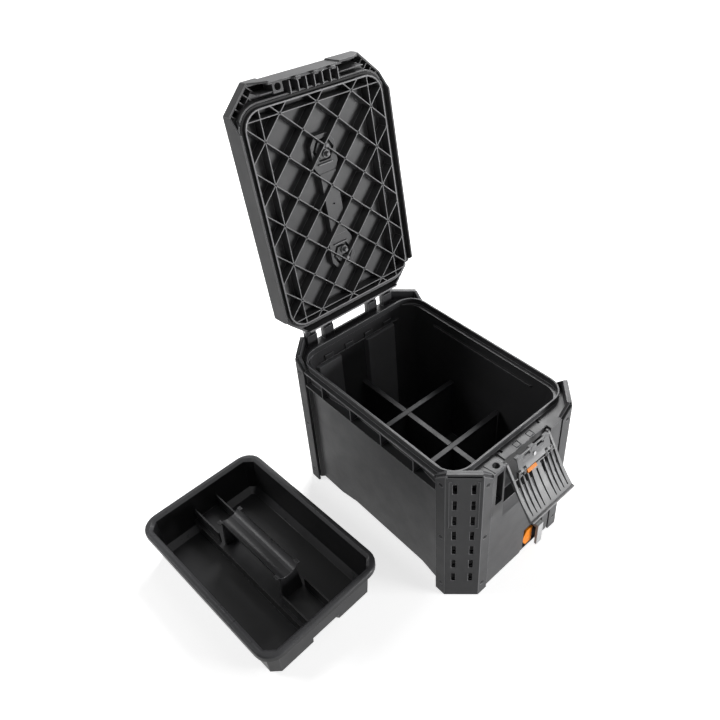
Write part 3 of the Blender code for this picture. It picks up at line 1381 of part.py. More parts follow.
def carry_handle():
    """A flat bail between the mounts, folded down towards +X."""
    far = HANDLE_REACH
    near = HANDLE_REACH - HANDLE_ARM
    outer_y = HANDLE_ARM_Y
    inner_y = HANDLE_ARM_Y - HANDLE_ARM
    corner = HANDLE_CORNER
    inner_corner = HANDLE_CORNER / 2
    half_outline = [
        (-HANDLE_EYE, inner_y),
        (-HANDLE_EYE, outer_y),
        (far - corner, outer_y),
        (far, outer_y - corner),
    ]
    inside = [(near, inner_y - inner_corner), (near - inner_corner, inner_y)]
    outline = half_outline + [(x, -y) for x, y in reversed(half_outline)]
    outline += [(x, -y) for x, y in reversed(inside)] + inside
    half = HANDLE_THICKNESS / 2
    bail = prism("carry_handle", outline, HANDLE_AXIS_Z - half, HANDLE_AXIS_Z + half)
    at = (0.0, 0.0, HANDLE_AXIS_Z)
    return cut(bail, rod("hole", "Y", at, -HALF_DEPTH, HALF_DEPTH, HANDLE_PIN_RADIUS + RUNNING_GAP))


# Dividers

DIVIDER_LOW = CAVITY_FLOOR + FIT_GAP
DIVIDER_MIDDLE = (DIVIDER_LOW + DIVIDER_TOP) / 2
DIVIDER_CAP_LOW = DIVIDER_TOP - DIVIDER_CAP_HEIGHT
DIVIDER_SLOT = DIVIDER_THICKNESS / 2 + RUNNING_GAP
DIVIDER_CAP_SLOT = DIVIDER_CAP_WIDTH / 2 + RUNNING_GAP


def long_divider():
    half = DIVIDER_THICKNESS / 2
    cap = DIVIDER_CAP_WIDTH / 2
    end = CAVITY_DRAFT + DIVIDER_END_GAP
    ys = (CAVITY_FRONT + end, CAVITY_REAR - end)
    panel = block("long_divider", (-half, half), ys, (DIVIDER_LOW, DIVIDER_TOP - OVERLAP))
    fuse(panel, block("cap", (-cap, cap), ys, (DIVIDER_CAP_LOW, DIVIDER_TOP)))
    slots = []
    for y in (CROSS_FRONT_Y, CROSS_REAR_Y):
        across = (-CUT_MARGIN - cap, CUT_MARGIN + cap)
        above = DIVIDER_TOP + CUT_MARGIN
        slots.append(block("slot", across, (y - DIVIDER_SLOT, y + DIVIDER_SLOT), (DIVIDER_MIDDLE, above)))
        cap_zs = (DIVIDER_CAP_LOW - RUNNING_GAP, above)
        slots.append(block("cap_slot", across, (y - DIVIDER_CAP_SLOT, y + DIVIDER_CAP_SLOT), cap_zs))
    return cut(panel, *slots)


def cross_divider(y):
    half = DIVIDER_THICKNESS / 2
    cap = DIVIDER_CAP_WIDTH / 2
    reach = CAVITY_HALF_WIDTH - CAVITY_DRAFT - DIVIDER_END_GAP
    zs = (DIVIDER_LOW, DIVIDER_TOP - OVERLAP)
    panel = block("cross_divider", (-reach, reach), (y - half, y + half), zs)
    fuse(panel, block("cap", (-reach, reach), (y - cap, y + cap), (DIVIDER_CAP_LOW, DIVIDER_TOP)))
    slot_zs = (DIVIDER_LOW - CUT_MARGIN, DIVIDER_MIDDLE + FIT_GAP)
    across = (y - half - CUT_MARGIN, y + half + CUT_MARGIN)
    return cut(panel, block("slot", (-DIVIDER_SLOT, DIVIDER_SLOT), across, slot_zs))


# Tray, built round its own middle


def tray_level(inset):
    leg = TRAY_CORNER - CHAMFER_SHRINK * inset
    return chamfered(TRAY_HALF_WIDTH - inset, TRAY_HALF_LENGTH - inset, leg)


def tray_cup(name, inset, low, high):
    """A drafted cup whose lowest stretch slopes in to the floor."""
    foot = inset + TRAY_DRAFT
    levels = [(tray_level(foot + TRAY_COVE), low), (tray_level(foot), low + TRAY_COVE), (tray_level(inset), high)]
    return tapered(name, levels)


def tray_rim():
    """A collar round the top, hollow below."""
    low = TRAY_HEIGHT - TRAY_RIM_HEIGHT
    outside = rounded(TRAY_RIM_HALF_WIDTH, TRAY_RIM_HALF_LENGTH, TRAY_RIM_RADIUS)
    rim = prism("rim", outside, low, TRAY_HEIGHT)
    inside = rounded(
        TRAY_RIM_HALF_WIDTH - TRAY_WALL, TRAY_RIM_HALF_LENGTH - TRAY_WALL, TRAY_RIM_RADIUS - TRAY_WALL
    )
    return cut(rim, prism("under_rim", inside, low - CUT_MARGIN, TRAY_HEIGHT - TRAY_WALL))


def tray_body():
    body = tray_cup("tray_body", 0.0, 0.0, TRAY_HEIGHT - OVERLAP)
    fuse(body, tray_rim())
    inside = tray_cup("tray_inside", TRAY_WALL, TRAY_WALL, TRAY_HEIGHT + CUT_MARGIN)
    platform_x = TUNNEL_HALF_WIDTH + TRAY_WALL
    tunnel_xs = (-TUNNEL_HALF_WIDTH, TUNNEL_HALF_WIDTH)
    long_ys = (-2 * TRAY_HALF_LENGTH, 2 * TRAY_HALF_LENGTH)
    cut(inside, block("platform", (-platform_x, platform_x), long_ys, (-CUT_MARGIN, PLATFORM_TOP)))
    cut(body, inside)
    cut(body, block("tunnel", tunnel_xs, long_ys, (-CUT_MARGIN, TUNNEL_HEIGHT)))
    fins = []
    half = FIN_THICKNESS / 2
    far = TRAY_HALF_LENGTH - TRAY_DRAFT - OVERLAP
    zs = (PLATFORM_TOP - OVERLAP, FIN_TOP)
    for sx in SIDES:
        for sy in SIDES:
            xs = (sx * FIN_X - half, sx * FIN_X + half)
            fins.append(block("fin", xs, (sy * (far - FIN_LENGTH), sy * far), zs))
    return fuse(body, *fins)


def grip_height(x):
    """Height of the gutter's upper face, low and nearly flat in the middle and high at both edges."""
    return GRIP_TOP - GRIP_DIP * (1 - abs(x / GRIP_HALF_WIDTH) ** GRIP_FLATNESS)


def grip_section():
    """The gutter seen along its length, as (x, z)."""
    xs = [GRIP_HALF_WIDTH * (2 * step / GRIP_STEPS - 1) for step in range(GRIP_STEPS + 1)]
    under = [(x, grip_height(x) - GRIP_THICKNESS) for x in xs]
    return under + [(x, grip_height(x)) for x in reversed(xs)]


def grip_wall():
    """An end wall of the grip, which stops half way up the gutter's thickness, as (x, z)."""
    low = PLATFORM_TOP + FIT_GAP
    reach = GRIP_HALF_WIDTH - GRIP_THICKNESS
    xs = [reach * (2 * step / GRIP_STEPS - 1) for step in range(GRIP_STEPS + 1)]
    top = [(x, grip_height(x) - GRIP_THICKNESS / 2) for x in reversed(xs)]
    return [(-GRIP_WALL_HALF_WIDTH, low), (GRIP_WALL_HALF_WIDTH, low), *top]


def grip_ears(end, inwards):
    """Short ears that stand out from the gutter's edges at one end."""
    ys = (end + inwards * FIT_GAP, end + inwards * GRIP_EAR_LENGTH)
    zs = (GRIP_TOP - GRIP_THICKNESS + FIT_GAP, GRIP_TOP - FIT_GAP)
    inner = GRIP_HALF_WIDTH - GRIP_THICKNESS / 2
    outer = GRIP_HALF_WIDTH + GRIP_EAR
    return [block("grip_ear", (side * inner, side * outer), ys, zs) for side in SIDES]


def tray_grip():
    """A gutter along the tray, carried by a wall at each end."""
    ends = [GRIP_CENTRE_Y + side * GRIP_LENGTH / 2 for side in SIDES]
    grip = prism("tray_grip", grip_section(), *ends, "Y")
    for end, inwards in zip(ends, (1, -1)):
        near = end + inwards * FIT_GAP
        wall = prism("grip_wall", grip_wall(), near, end + inwards * GRIP_WALL, "Y")
        fuse(grip, wall, *grip_ears(end, inwards))
    return grip


# The whole toolbox


def build_box(looks):
    finish(box_body(), "box_body", looks["shell"])
    pattern = guard()
    for place, quarter in QUARTERS.items():
        finish(mirrored(pattern, *quarter), "corner_guard_" + place, looks["guard"])
        for number, where in enumerate(screw_places(quarter), 1):
            finish(guard_screw(*where), f"guard_screw_{place}_{number}", looks["dark_steel"])
    drop(pattern)
    for side, word in zip(SIDES, ("left", "right")):
        finish(hinge_pin(side), "hinge_pin_" + word, looks["steel"])
        finish(latch_lever_pin(side), "latch_lever_pin_" + word, looks["steel"])
    finish(stack_lock_pin(), "stack_lock_pin", looks["steel"])


def build_lid(looks):
    opened = (-math.radians(LID_OPEN_DEG), 0.0, 0.0)
    lid = pivot("lid_axis", (0.0, HINGE_Y, HINGE_Z), opened)
    finish(lid_shell(), "lid_shell", looks["lid"], lid)
    finish(lid_seal(), "lid_seal", looks["rubber"], lid)
    finish(lid_strike(), "lid_strike", looks["lid"], lid)
    for x, word in zip(STRIKE_SCREW_XS, ("left", "right")):
        finish(strike_screw(x), "strike_screw_" + word, looks["steel"], lid)
    for side, word in zip(SIDES, ("front", "rear")):
        finish(handle_mount(side), "handle_mount_" + word, looks["lid"], lid)
        finish(handle_pin(side), "handle_pin_" + word, looks["steel"], lid)
    handle = pivot("handle_axis", (0.0, 0.0, HANDLE_AXIS_Z), parent=lid)
    finish(carry_handle(), "carry_handle", looks["handle"], handle)


def build_latch(looks):
    lever = pivot("lever_axis", (0.0, LEVER_PIVOT_Y, LEVER_PIVOT_Z), (-LEVER_OPEN, 0.0, 0.0))
    finish(latch_lever(), "latch_lever", looks["latch"], lever)
    finish(latch_hook_pin(), "latch_hook_pin", looks["dark_steel"], lever)
    finish(latch_release_tab(), "latch_release_tab", looks["orange"], lever)
    hook = pivot("hook_axis", (0.0, HOOK_Y, HOOK_Z), (LEVER_OPEN - PLATE_OPEN, 0.0, 0.0), lever)
    finish(latch_hook_plate(), "latch_hook_plate", looks["hook"], hook)
    finish(hook_plate_screw(), "hook_plate_screw", looks["dark_steel"], hook)


def build_stack_lock(looks):
    tab = pivot("lock_axis", (LOCK_TAB_X, LOCK_PIVOT_Y, LOCK_PIVOT_Z))
    finish(stack_lock_tab(), "stack_lock_tab", looks["pale"], tab)
    finish(stack_lock_catch(), "stack_lock_catch", looks["orange"])


def build_dividers(looks):
    finish(long_divider(), "long_divider", looks["divider"])
    finish(cross_divider(CROSS_FRONT_Y), "cross_divider_front", looks["divider"])
    finish(cross_divider(CROSS_REAR_Y), "cross_divider_rear", looks["divider"])


def build_tray(looks):
    yaw = (0.0, 0.0, math.radians(TRAY_YAW_DEG))
    tray = pivot("tray_middle", (TRAY_X, TRAY_Y, 0.0), yaw, built_at=(0.0, 0.0, 0.0))
    finish(tray_body(), "tray_body", looks["tray"], tray)
    finish(tray_grip(), "tray_grip", looks["tray"], tray)


def main():
    clear_scene()
    looks = {
        "shell": principled("shell_plastic", (0.022, 0.022, 0.024), 0.55),
        "guard": principled("guard_plastic", (0.026, 0.027, 0.029), 0.50),
        "lid": principled("lid_plastic", (0.022, 0.022, 0.024), 0.55),
        "rubber": principled("seal_rubber", (0.030, 0.030, 0.032), 0.75),
        "latch": principled("latch_plastic", (0.030, 0.031, 0.033), 0.45),
        "hook": principled("hook_plastic", (0.080, 0.083, 0.088), 0.45),
        "orange": principled("orange_plastic", (0.820, 0.270, 0.010), 0.40),
        "pale": principled("pale_plastic", (0.480, 0.490, 0.500), 0.45),
        "handle": principled("handle_plastic", (0.024, 0.024, 0.026), 0.50),
        "divider": principled("divider_plastic", (0.028, 0.028, 0.030), 0.50),
        "tray": principled("tray_plastic", (0.026, 0.026, 0.028), 0.50),
        "steel": principled("pin_steel", (0.560, 0.570, 0.580), 0.30, 1.0),
        "dark_steel": principled("dark_steel", (0.120, 0.120, 0.125), 0.40, 1.0),
    }
    build_box(looks)
    build_lid(looks)
    build_latch(looks)
    build_stack_lock(looks)
    build_dividers(looks)
    build_tray(looks)


main()
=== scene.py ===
"""The looks of the toolbox: rounded edges, moulded detail, plastic and metal finishes, studio and camera.

Metres, in the frame's own axes: the origin on the floor under the box, the latch at -Y, the hinge at +Y.
Pieces on the lid and the latch are modelled as they lie when closed, and then turned to where they rest.
"""

import json
import math

import bmesh
import bpy
from mathutils import Matrix, Vector


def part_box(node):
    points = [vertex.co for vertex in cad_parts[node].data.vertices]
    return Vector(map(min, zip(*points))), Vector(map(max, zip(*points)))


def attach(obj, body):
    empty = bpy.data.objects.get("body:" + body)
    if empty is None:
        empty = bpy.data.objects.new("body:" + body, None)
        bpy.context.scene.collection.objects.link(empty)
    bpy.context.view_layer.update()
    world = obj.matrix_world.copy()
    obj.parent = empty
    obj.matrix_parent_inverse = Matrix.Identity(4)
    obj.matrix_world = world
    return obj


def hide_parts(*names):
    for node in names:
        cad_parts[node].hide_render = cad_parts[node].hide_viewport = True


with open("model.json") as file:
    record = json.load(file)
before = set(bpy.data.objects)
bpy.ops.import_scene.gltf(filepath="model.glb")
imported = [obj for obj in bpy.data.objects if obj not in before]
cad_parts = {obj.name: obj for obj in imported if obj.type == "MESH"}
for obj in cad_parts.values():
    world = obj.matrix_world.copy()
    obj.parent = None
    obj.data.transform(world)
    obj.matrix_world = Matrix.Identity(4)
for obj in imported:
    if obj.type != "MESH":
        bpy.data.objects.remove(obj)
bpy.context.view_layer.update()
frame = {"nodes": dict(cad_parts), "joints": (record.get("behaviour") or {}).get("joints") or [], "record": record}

# Camera, from the photograph's perspective
EYE = Vector((-0.6086, -0.6355, 1.0755))
AZIMUTH = math.radians(-44.73)
ELEVATION = math.radians(37.16)
LENS = 35.81
SENSOR = 36.0
SHIFT_X = -0.1081
SHIFT_Y = -0.0659
CLIP_START = 0.05

# Rounding of moulded edges
EDGE = 0.0006
FINE_EDGE = 0.0004
SOFT_EDGE = 0.0022
EDGE_SEGMENTS = 2
EDGE_ANGLE = math.radians(40)
FLAT_ANGLE = math.radians(0.5)
ANY_SHAPE = math.radians(180)
WELD = 0.00002
SMOOTH_ANGLE = math.radians(35)
ROUND_SIDES = 24
HOLE_SIDES = 12
SINK = 0.0006
CUT_MARGIN = 0.002

# Box
HALF_WIDTH = 0.140
HALF_DEPTH = 0.216
CORNER_LEG = 0.039
LEDGE = 0.275
CAVITY_FLOOR = 0.012
CAVITY_HALF_WIDTH = 0.1215
CAVITY_REAR = 0.181
CAVITY_DRAFT = 0.004
REAR_LOW_Y = CAVITY_REAR - CAVITY_DRAFT
REAR_HIGH_Y = CAVITY_REAR - CAVITY_DRAFT * 0.10
BEND_XS = (0.1245, 0.1305)
BEND_REACH = 0.145
BEND_HEIGHT = 0.05

# Inside the box: ledges for the tray, panels on the rear wall and a shelf with tabs above them
TRAY_LEDGE_DEPTH = 0.0044
TRAY_LEDGE_FRONT = -0.1230
TRAY_LEDGE_REAR = 0.1120
TRAY_LEDGE_CHAMFER = 0.0040
TRAY_LEDGE_ZS = (0.2540, 0.2575)
REAR_PANELS = ((-0.1000, -0.0460), (0.0100, 0.0800))
REAR_PANEL_TOP = 0.2460
REAR_PANEL_DEPTH = 0.0080
REAR_PANEL_SLOPE = 0.0030
SHELF_HALF_WIDTH = 0.0930
SHELF_DEPTH = 0.0034
SHELF_LOW = 0.2478
SHELF_TOP = 0.2500
SHELF_TABS = (-0.0700, -0.0250, 0.0200, 0.0650)
SHELF_TAB_HALF_WIDTH = 0.0090
SHELF_TAB_DEPTH = 0.0030
SHELF_TAB_TOP = 0.2600

# Blocks under the hinge's ears and the sill between them
HINGE_GROUPS = (-0.086, -0.050, 0.050, 0.086)
HINGE_BLOCK_HALF_WIDTH = 0.0098
HINGE_BLOCK_FRONT = 0.1996
HINGE_BLOCK_REAR = 0.2112
HINGE_BLOCK_TOP = 0.2985
HINGE_SILL_HALF_WIDTH = 0.0400
HINGE_SILL_REAR = 0.2030
HINGE_SILL_TOP = 0.2835

# Front ledge of the box: squares, notches, a channel and the padlock's plate, and the lever's cavity below
SQUARES = (-0.0104, 0.0204)
SQUARE_HALF_WIDTH = 0.0056
SQUARE_FRONT = -0.2036
SQUARE_REAR = -0.1930
SQUARE_LINE = 0.0009
SQUARE_DEPTH = 0.0010
NOTCHES = ((-0.0436, 1), (0.0536, -1))
NOTCH_LENGTH = 0.0078
NOTCH_FOOT = 0.0042
NOTCH_FRONT = -0.1940
NOTCH_BEND = -0.1892
NOTCH_REAR = -0.1864
NOTCH_DEPTH = 0.0060
CHANNEL_XS = (-0.0506, -0.0450)
CHANNEL_FRONT = -0.2080
CHANNEL_DEPTH = 0.0025
PADLOCK_PLATE = ((-0.0780, -0.1908), (-0.0745, -0.2136), (-0.0530, -0.2136), (-0.0556, -0.1908))
PADLOCK_PLATE_HEIGHT = 0.0009
PADLOCK_HOLE = (-0.0635, -0.2045)
PADLOCK_HOLE_RADIUS = 0.0058
LEVER_CAVITY_HALF_WIDTH = 0.0505
LEVER_CAVITY_YS = (-0.2090, -0.1880)
LEVER_CAVITY_ZS = (0.1720, 0.2620)

# Corner guards, with their step under the horns' rims, and their beads
GUARD_STEP_HALF_WIDTH = 0.0250
GUARD_STEP_DEPTH = 0.0042
GUARD_STEP_ZS = (0.2884, 0.2950)
HORN_RIM_HALF_WIDTH = 0.0262
HORN_RIM_BACK_HALF_WIDTH = 0.0240
HORN_RIM_OUT = -0.0009
HORN_RIM_BACK = -0.0086
HORN_RIM_ZS = (0.2914, 0.2953)
BEAD_WIDTH = 0.0008
BEAD_HEIGHT = 0.0005
BEAD_FAR = 0.0224
BEAD_ARM_NEAR = 0.0180
BEAD_LOW = 0.1770
BEAD_TOP = 0.2800

# Guard screws: (height, radius) steps from the stem's end up to the head's top, and the cross recess
SCREW_PROFILE = ((-0.0088, 0.0018), (-0.0018, 0.0020), (-0.0018, 0.0039), (-0.0006, 0.0039), (0.0, 0.0030))
CROSS_HALF_LENGTH = 0.0022
CROSS_HALF_WIDTH = 0.0005
CROSS_DEPTH = 0.0012

# Closed lid: lattice and ridges
LID_LOW = 0.2765
LID_CEILING = 0.300
RIB_LOW = 0.281
RIB_STEP = 0.03325
LATTICE_STEPS_X = 3
LATTICE_STEPS_Y = 5
BOSS_RADIUS = 0.0027
BOSS_HOLE = 0.0013
BOSS_HOLE_DEPTH = 0.0060
BOSS_PROUD = 0.0003
LIP_HALF_WIDTH = 0.1305
LIP_HALF_DEPTH = 0.18285
LIP_CENTRE_Y = -0.0015
LIP_RADIUS = 0.034
CORNER_STEPS = 8
RIDGE_GROOVE_INNER = 0.0034
RIDGE_GROOVE_OUTER = 0.0044
RIDGE_GROOVE_DEPTH = 0.0045
RIDGE_OUTER = 0.0060

# Closed lid: pockets and long ribs beside the front cells, by side, and the ladder behind the left chamfer
POCKET_NEAR = {1: 0.0515, -1: 0.0735}
POCKET_FAR = 0.0980
POCKET_WIDE = 0.1075
POCKET_FRONT = -0.2093
POCKET_REAR = -0.2000
POCKET_TOP = 0.3155
LONG_RIB_NEAR = {1: 0.0500, -1: 0.0718}
LONG_RIB_FAR = 0.0940
LONG_RIB_YS = (-0.1998, -0.1985)
LONG_RIB_LIFT = 0.0015
LID_CHAMFER = Vector((-0.12025, -0.19625))
LADDER_WALL = 0.0024
LADDER_RUNGS = range(-2, 3)
LADDER_PITCH = 0.0115
LADDER_RIB = 0.0013
LADDER_RAIL = 0.0100
LADDER_RAIL_ENDS = (-0.0235, 0.0120)
LADDER_REACH = 0.0220
LADDER_STEP = 0.0005
LADDER_LOW = 0.2964

# Closed lid: the handle's housings and the strip between them
HANDLE_MOUNT_Y = 0.092
HOUSING_Y = 0.0905
HOUSING_HALF = ((0.0150, 0.0520), (0.0230, 0.0660), (0.0230, 0.1000), (0.0120, 0.1150))
HOUSING_FACE = 0.2885
HEXAGON_SIDES = 6
HEXAGON_INNER = 0.0150
HEXAGON_OUTER = 0.0205
HEXAGON_TOP = 0.2945
STRIP_HALF_WIDTH = 0.0153
STRIP_HALF_LENGTH = 0.0540
STRIP_FACE = 0.2868
STRIP_HOLE = 0.0018
STRIP_HOLE_TOP = 0.2930
STRIP_HOLE_SIDES = 16
STUD_X = 0.0028
STUD_SPREAD = 0.0072
STUD_ROOT = 0.2890
STUD_PROFILE = ((STUD_ROOT, 0.0038), (0.2815, 0.0038), (0.2799, 0.0029), (0.2792, 0.0012))
COLLAR_OUTER = 0.0064
COLLAR_INNER = 0.0048
COLLAR_LOW = 0.2855
BAR_XS = (-0.0150, 0.0120)
BAR_NEAR = 0.0683
BAR_FAR = 0.0700
BAR_LOW = 0.2850

# Closed latch lever, whose gaps go by drop below its top, half width and depth
LEVER_FRONT = -0.2135
LEVER_TOP = 0.2415
LEVER_BROAD_PITCH = 0.0141
LEVER_NARROW_PITCH = 0.0094
LEVER_SIDE_GAPS = 4
LEVER_GAP_LENGTH = 0.0550
LEVER_GAP_FOOT = 0.0009
MIDDLE_GAP = (0.0080, 0.0017, 0.0047)
SIDE_GAP = (0.0020, 0.0036, 0.0090)

# Closed hook plate: its fillings, windows and caps
FILL_XS = (0.0074, 0.0246)
FILL_YS = (-0.2180, -0.2158)
FILL_ZS = (0.2585, 0.2664)
WINDOW_XS = (0.0085, 0.0205)
WINDOW_YS = (-0.2200, -0.2138)
WINDOW_ZS = (0.2668, 0.2726)
HOOKS = (-0.0310, 0.0, 0.0310)
CAP_HALF_WIDTH = 0.0046
CAP_FRONT = -0.2187
CAP_REAR = -0.2150
CAP_LOW = 0.2692
CAP_TOP = 0.2750
CAP_THICKNESS = 0.0008

# Tray
TRAY_PLACE = Vector((-0.325, 0.065, 0.0))
TRAY_TURN = math.radians(3.1)
TRAY_TOP = 0.080
TRAY_COVE_TOP = 0.020
TRAY_MOUTH_X = 0.107
TRAY_MOUTH_Y = 0.168
TRAY_RIM_CHAMFER = 0.0045
TRAY_RIM_ROUND = 0.0036
TRAY_RIM_SEGMENTS = 4
TRAY_RIM_DEPTH = 0.0050
GRIP_GUTTER_DEPTH = 0.0140

# Limits on a face's normal, by which faces are picked out: for the tray rim's bevels and for the painted
# highlights
FACES_DOWN = -0.9
FACES_ASIDE = 0.5
RIM_SLOPE = 0.1
COVE_SLOPE = (0.25, 0.95)
GUTTER_UP = 0.15
GUTTER_LEFT = -0.12

# Studio
FLOOR_HALF_WIDTH = 12.0
FLOOR_DROP = 0.0002
FLOOR_GREY = 0.80
FLOOR_GLOW_NEAR = 0.72
FLOOR_GLOW_FAR = 1.0
GLOW_NEAR = 0.9
GLOW_FAR = 3.0
WORLD_LIGHT = 0.05
LAMP_TARGET = (0.0, 0.0, 0.25)
BACK_TARGET = (-0.2, 0.0, 0.2)

JOINTS = {joint["name"]: joint for joint in frame["joints"]}
SIDES = (-1, 1)
QUARTERS = {"front_left": (-1, -1), "front_right": (1, -1), "rear_left": (-1, 1), "rear_right": (1, 1)}


# Frames of the moving pieces


def turned_back(name, degrees):
    """The turn about a joint's axis from where a piece was modelled to where it rests."""
    pivot = Matrix.Translation(Vector(JOINTS[name]["pos_m"]))
    turn = Matrix.Rotation(math.radians(degrees), 4, Vector(JOINTS[name]["axis"]))
    return pivot @ turn @ pivot.inverted()


AT_REST = Matrix.Identity(4)
LID_REST = turned_back("lid_hinge", -JOINTS["lid_hinge"]["range_deg"][1])
LEVER_REST = turned_back("latch_swing", -JOINTS["latch_swing"]["range_deg"][1])
PLATE_PIN = Vector((0.0, -0.2169, 0.2490))
PLATE_LEAN = math.radians(-16.30)
PLATE_REST = Matrix.Translation(Vector(JOINTS["hook_swing"]["pos_m"])) @ Matrix.Rotation(PLATE_LEAN, 4, "X")
PLATE_REST = PLATE_REST @ Matrix.Translation(-PLATE_PIN)
TRAY_REST = Matrix.Translation(TRAY_PLACE) @ Matrix.Rotation(TRAY_TURN, 4, "Z")


# Materials


def shader_of(name):
    """A new material, with its node tree and its main shader."""
    made = bpy.data.materials.new(name)
    made.use_nodes = True
    return made, made.node_tree, made.node_tree.nodes["Principled BSDF"]


def noise(tree, scale, detail, roughness=0.5):
    """A cloudy value over the piece's own coordinates."""
    coords = tree.nodes.new("ShaderNodeTexCoord")
    made = tree.nodes.new("ShaderNodeTexNoise")
    made.inputs["Scale"].default_value = scale
    made.inputs["Detail"].default_value = detail
    made.inputs["Roughness"].default_value = roughness
    tree.links.new(coords.outputs["Object"], made.inputs["Vector"])
    return made.outputs["Fac"]


def spread(tree, value, low, high, start=0.3, end=0.7):
    """A value between two numbers, spread between two others; a noise lies mostly between 0.3 and 0.7."""
    made = tree.nodes.new("ShaderNodeMapRange")
    made.inputs["From Min"].default_value = start
    made.inputs["From Max"].default_value = end
    made.inputs["To Min"].default_value = low
    made.inputs["To Max"].default_value = high
    tree.links.new(value, made.inputs["Value"])
    return made.outputs["Result"]


def tint(tree, value, dark, light):
    """A colour between two, by a value."""
    made = tree.nodes.new("ShaderNodeMix")
    made.data_type = "RGBA"
    made.inputs["A"].default_value = (*dark, 1.0)
    made.inputs["B"].default_value = (*light, 1.0)
    tree.links.new(value, made.inputs["Factor"])
    return made.outputs["Result"]


def grain(tree, shader, height, strength, distance):
    """Roughens a shader's surface by a value."""
    bump = tree.nodes.new("ShaderNodeBump")
    bump.inputs["Strength"].default_value = strength
    bump.inputs["Distance"].default_value = distance
    tree.links.new(height, bump.inputs["Height"])
    tree.links.new(bump.outputs["Normal"], shader.inputs["Normal"])


def plastic(name, colour, roughness, variation, specular):
    """Moulded plastic: spark-eroded grain, faint cloudy colour and uneven gloss."""
    made, tree, shader = shader_of(name)
    cloud = noise(tree, scale=9.0, detail=4.0)
    dark = [part * (1 - variation) for part in colour]
    light = [part * (1 + variation) for part in colour]
    tree.links.new(tint(tree, spread(tree, cloud, 0.0, 1.0), dark, light), shader.inputs["Base Color"])
    patches = noise(tree, scale=34.0, detail=5.0, roughness=0.6)
    tree.links.new(spread(tree, patches, roughness - 0.05, roughness + 0.05), shader.inputs["Roughness"])
    shader.inputs["Specular IOR Level"].default_value = specular
    grain(tree, shader, noise(tree, scale=1400.0, detail=3.0), strength=0.35, distance=0.00012)
    return made


def rubber(name, colour):
    """Rubber with a faint bloom on it."""
    made, tree, shader = shader_of(name)
    bloom = noise(tree, scale=40.0, detail=4.0)
    light = [part * 1.6 for part in colour]
    tree.links.new(tint(tree, spread(tree, bloom, 0.0, 1.0), colour, light), shader.inputs["Base Color"])
    shader.inputs["Roughness"].default_value = 0.78
    grain(tree, shader, noise(tree, scale=900.0, detail=2.0), strength=0.3, distance=0.0001)
    return made


def metal(name, colour, roughness):
    """Drawn steel with fine scratches along its length."""
    made, tree, shader = shader_of(name)
    shader.inputs["Metallic"].default_value = 1.0
    coords = tree.nodes.new("ShaderNodeTexCoord")
    stretch = tree.nodes.new("ShaderNodeMapping")
    stretch.inputs["Scale"].default_value = (20.0, 1.0, 1.0)
    lines = tree.nodes.new("ShaderNodeTexNoise")
    lines.inputs["Scale"].default_value = 260.0
    lines.inputs["Detail"].default_value = 3.0
    tree.links.new(coords.outputs["Object"], stretch.inputs["Vector"])
    tree.links.new(stretch.outputs["Vector"], lines.inputs["Vector"])
    dark = [part * 0.75 for part in colour]
    tree.links.new(tint(tree, lines.outputs["Fac"], dark, colour), shader.inputs["Base Color"])
    scratch = spread(tree, lines.outputs["Fac"], roughness - 0.08, roughness + 0.08)
    tree.links.new(scratch, shader.inputs["Roughness"])
    grain(tree, shader, lines.outputs["Fac"], strength=0.15, distance=0.00005)
    return made


# Base grey or colour, roughness, cloudiness, gloss and how much paler the painted highlight on rounded edges and
# picked faces is
PLASTICS = {
    "shell": ((0.044, 0.044, 0.046), 0.42, 0.10, 0.26, 3.6),
    "guard": ((0.064, 0.064, 0.066), 0.48, 0.10, 0.12, 2.8),
    "lid": ((0.088, 0.088, 0.090), 0.46, 0.10, 0.10, 2.5),
    "latch": ((0.100, 0.100, 0.102), 0.40, 0.10, 0.24, 1.8),
    "hook": ((0.140, 0.141, 0.144), 0.40, 0.10, 0.24, 1.8),
    "orange": ((0.720, 0.210, 0.010), 0.46, 0.06, 0.12, 1.1),
    "pale": ((0.380, 0.384, 0.388), 0.42, 0.05, 0.35, 1.2),
    "handle": ((0.060, 0.060, 0.062), 0.50, 0.12, 0.20, 1.8),
    "divider": ((0.030, 0.030, 0.032), 0.46, 0.10, 0.16, 2.4),
    "tray": ((0.017, 0.017, 0.018), 0.36, 0.12, 0.20, 2.6),
}
EDGE_GLOSS = 0.06
LOOKS = {}
HIGHLIGHT_LOOKS = {}
for slot_name, (colour, roughness, clouds, gloss, highlight_paler) in PLASTICS.items():
    LOOKS[slot_name] = plastic(slot_name + "_plastic", colour, roughness, clouds, gloss)
    # Each plastic also gets a paler copy: a painted highlight for rounded edges and picked faces
    highlight_name = slot_name + "_painted_highlight"
    highlight_colour = [part * highlight_paler for part in colour]
    HIGHLIGHT_LOOKS[slot_name] = plastic(highlight_name, highlight_colour, roughness - EDGE_GLOSS, clouds, gloss)
LOOKS["rubber"] = rubber("seal_rubber", (0.008, 0.008, 0.0085))
LOOKS["steel"] = metal("pin_steel", (0.560, 0.570, 0.580), 0.30)
LOOKS["dark_steel"] = metal("dark_steel", (0.040, 0.040, 0.042), 0.38)
LOOKS["screw"] = metal("screw_steel", (0.300, 0.300, 0.305), 0.45)

SLOT_OF = {part["node"]: part["material_slot"] for part in frame["record"]["subparts"]}
BODY_OF = {}
for body_name, body_nodes in frame["record"]["behaviour"]["bodies"].items():
    for body_node in body_nodes:
        BODY_OF[body_node] = body_name


# Meshes


def add_mesh(name, bm):
    """A new object in the scene with what was built, which is used up."""
    mesh = bpy.data.meshes.new(name)
    bm.to_mesh(mesh)
    bm.free()
    obj = bpy.data.objects.new(name, mesh)
    bpy.context.scene.collection.objects.link(obj)
    return obj


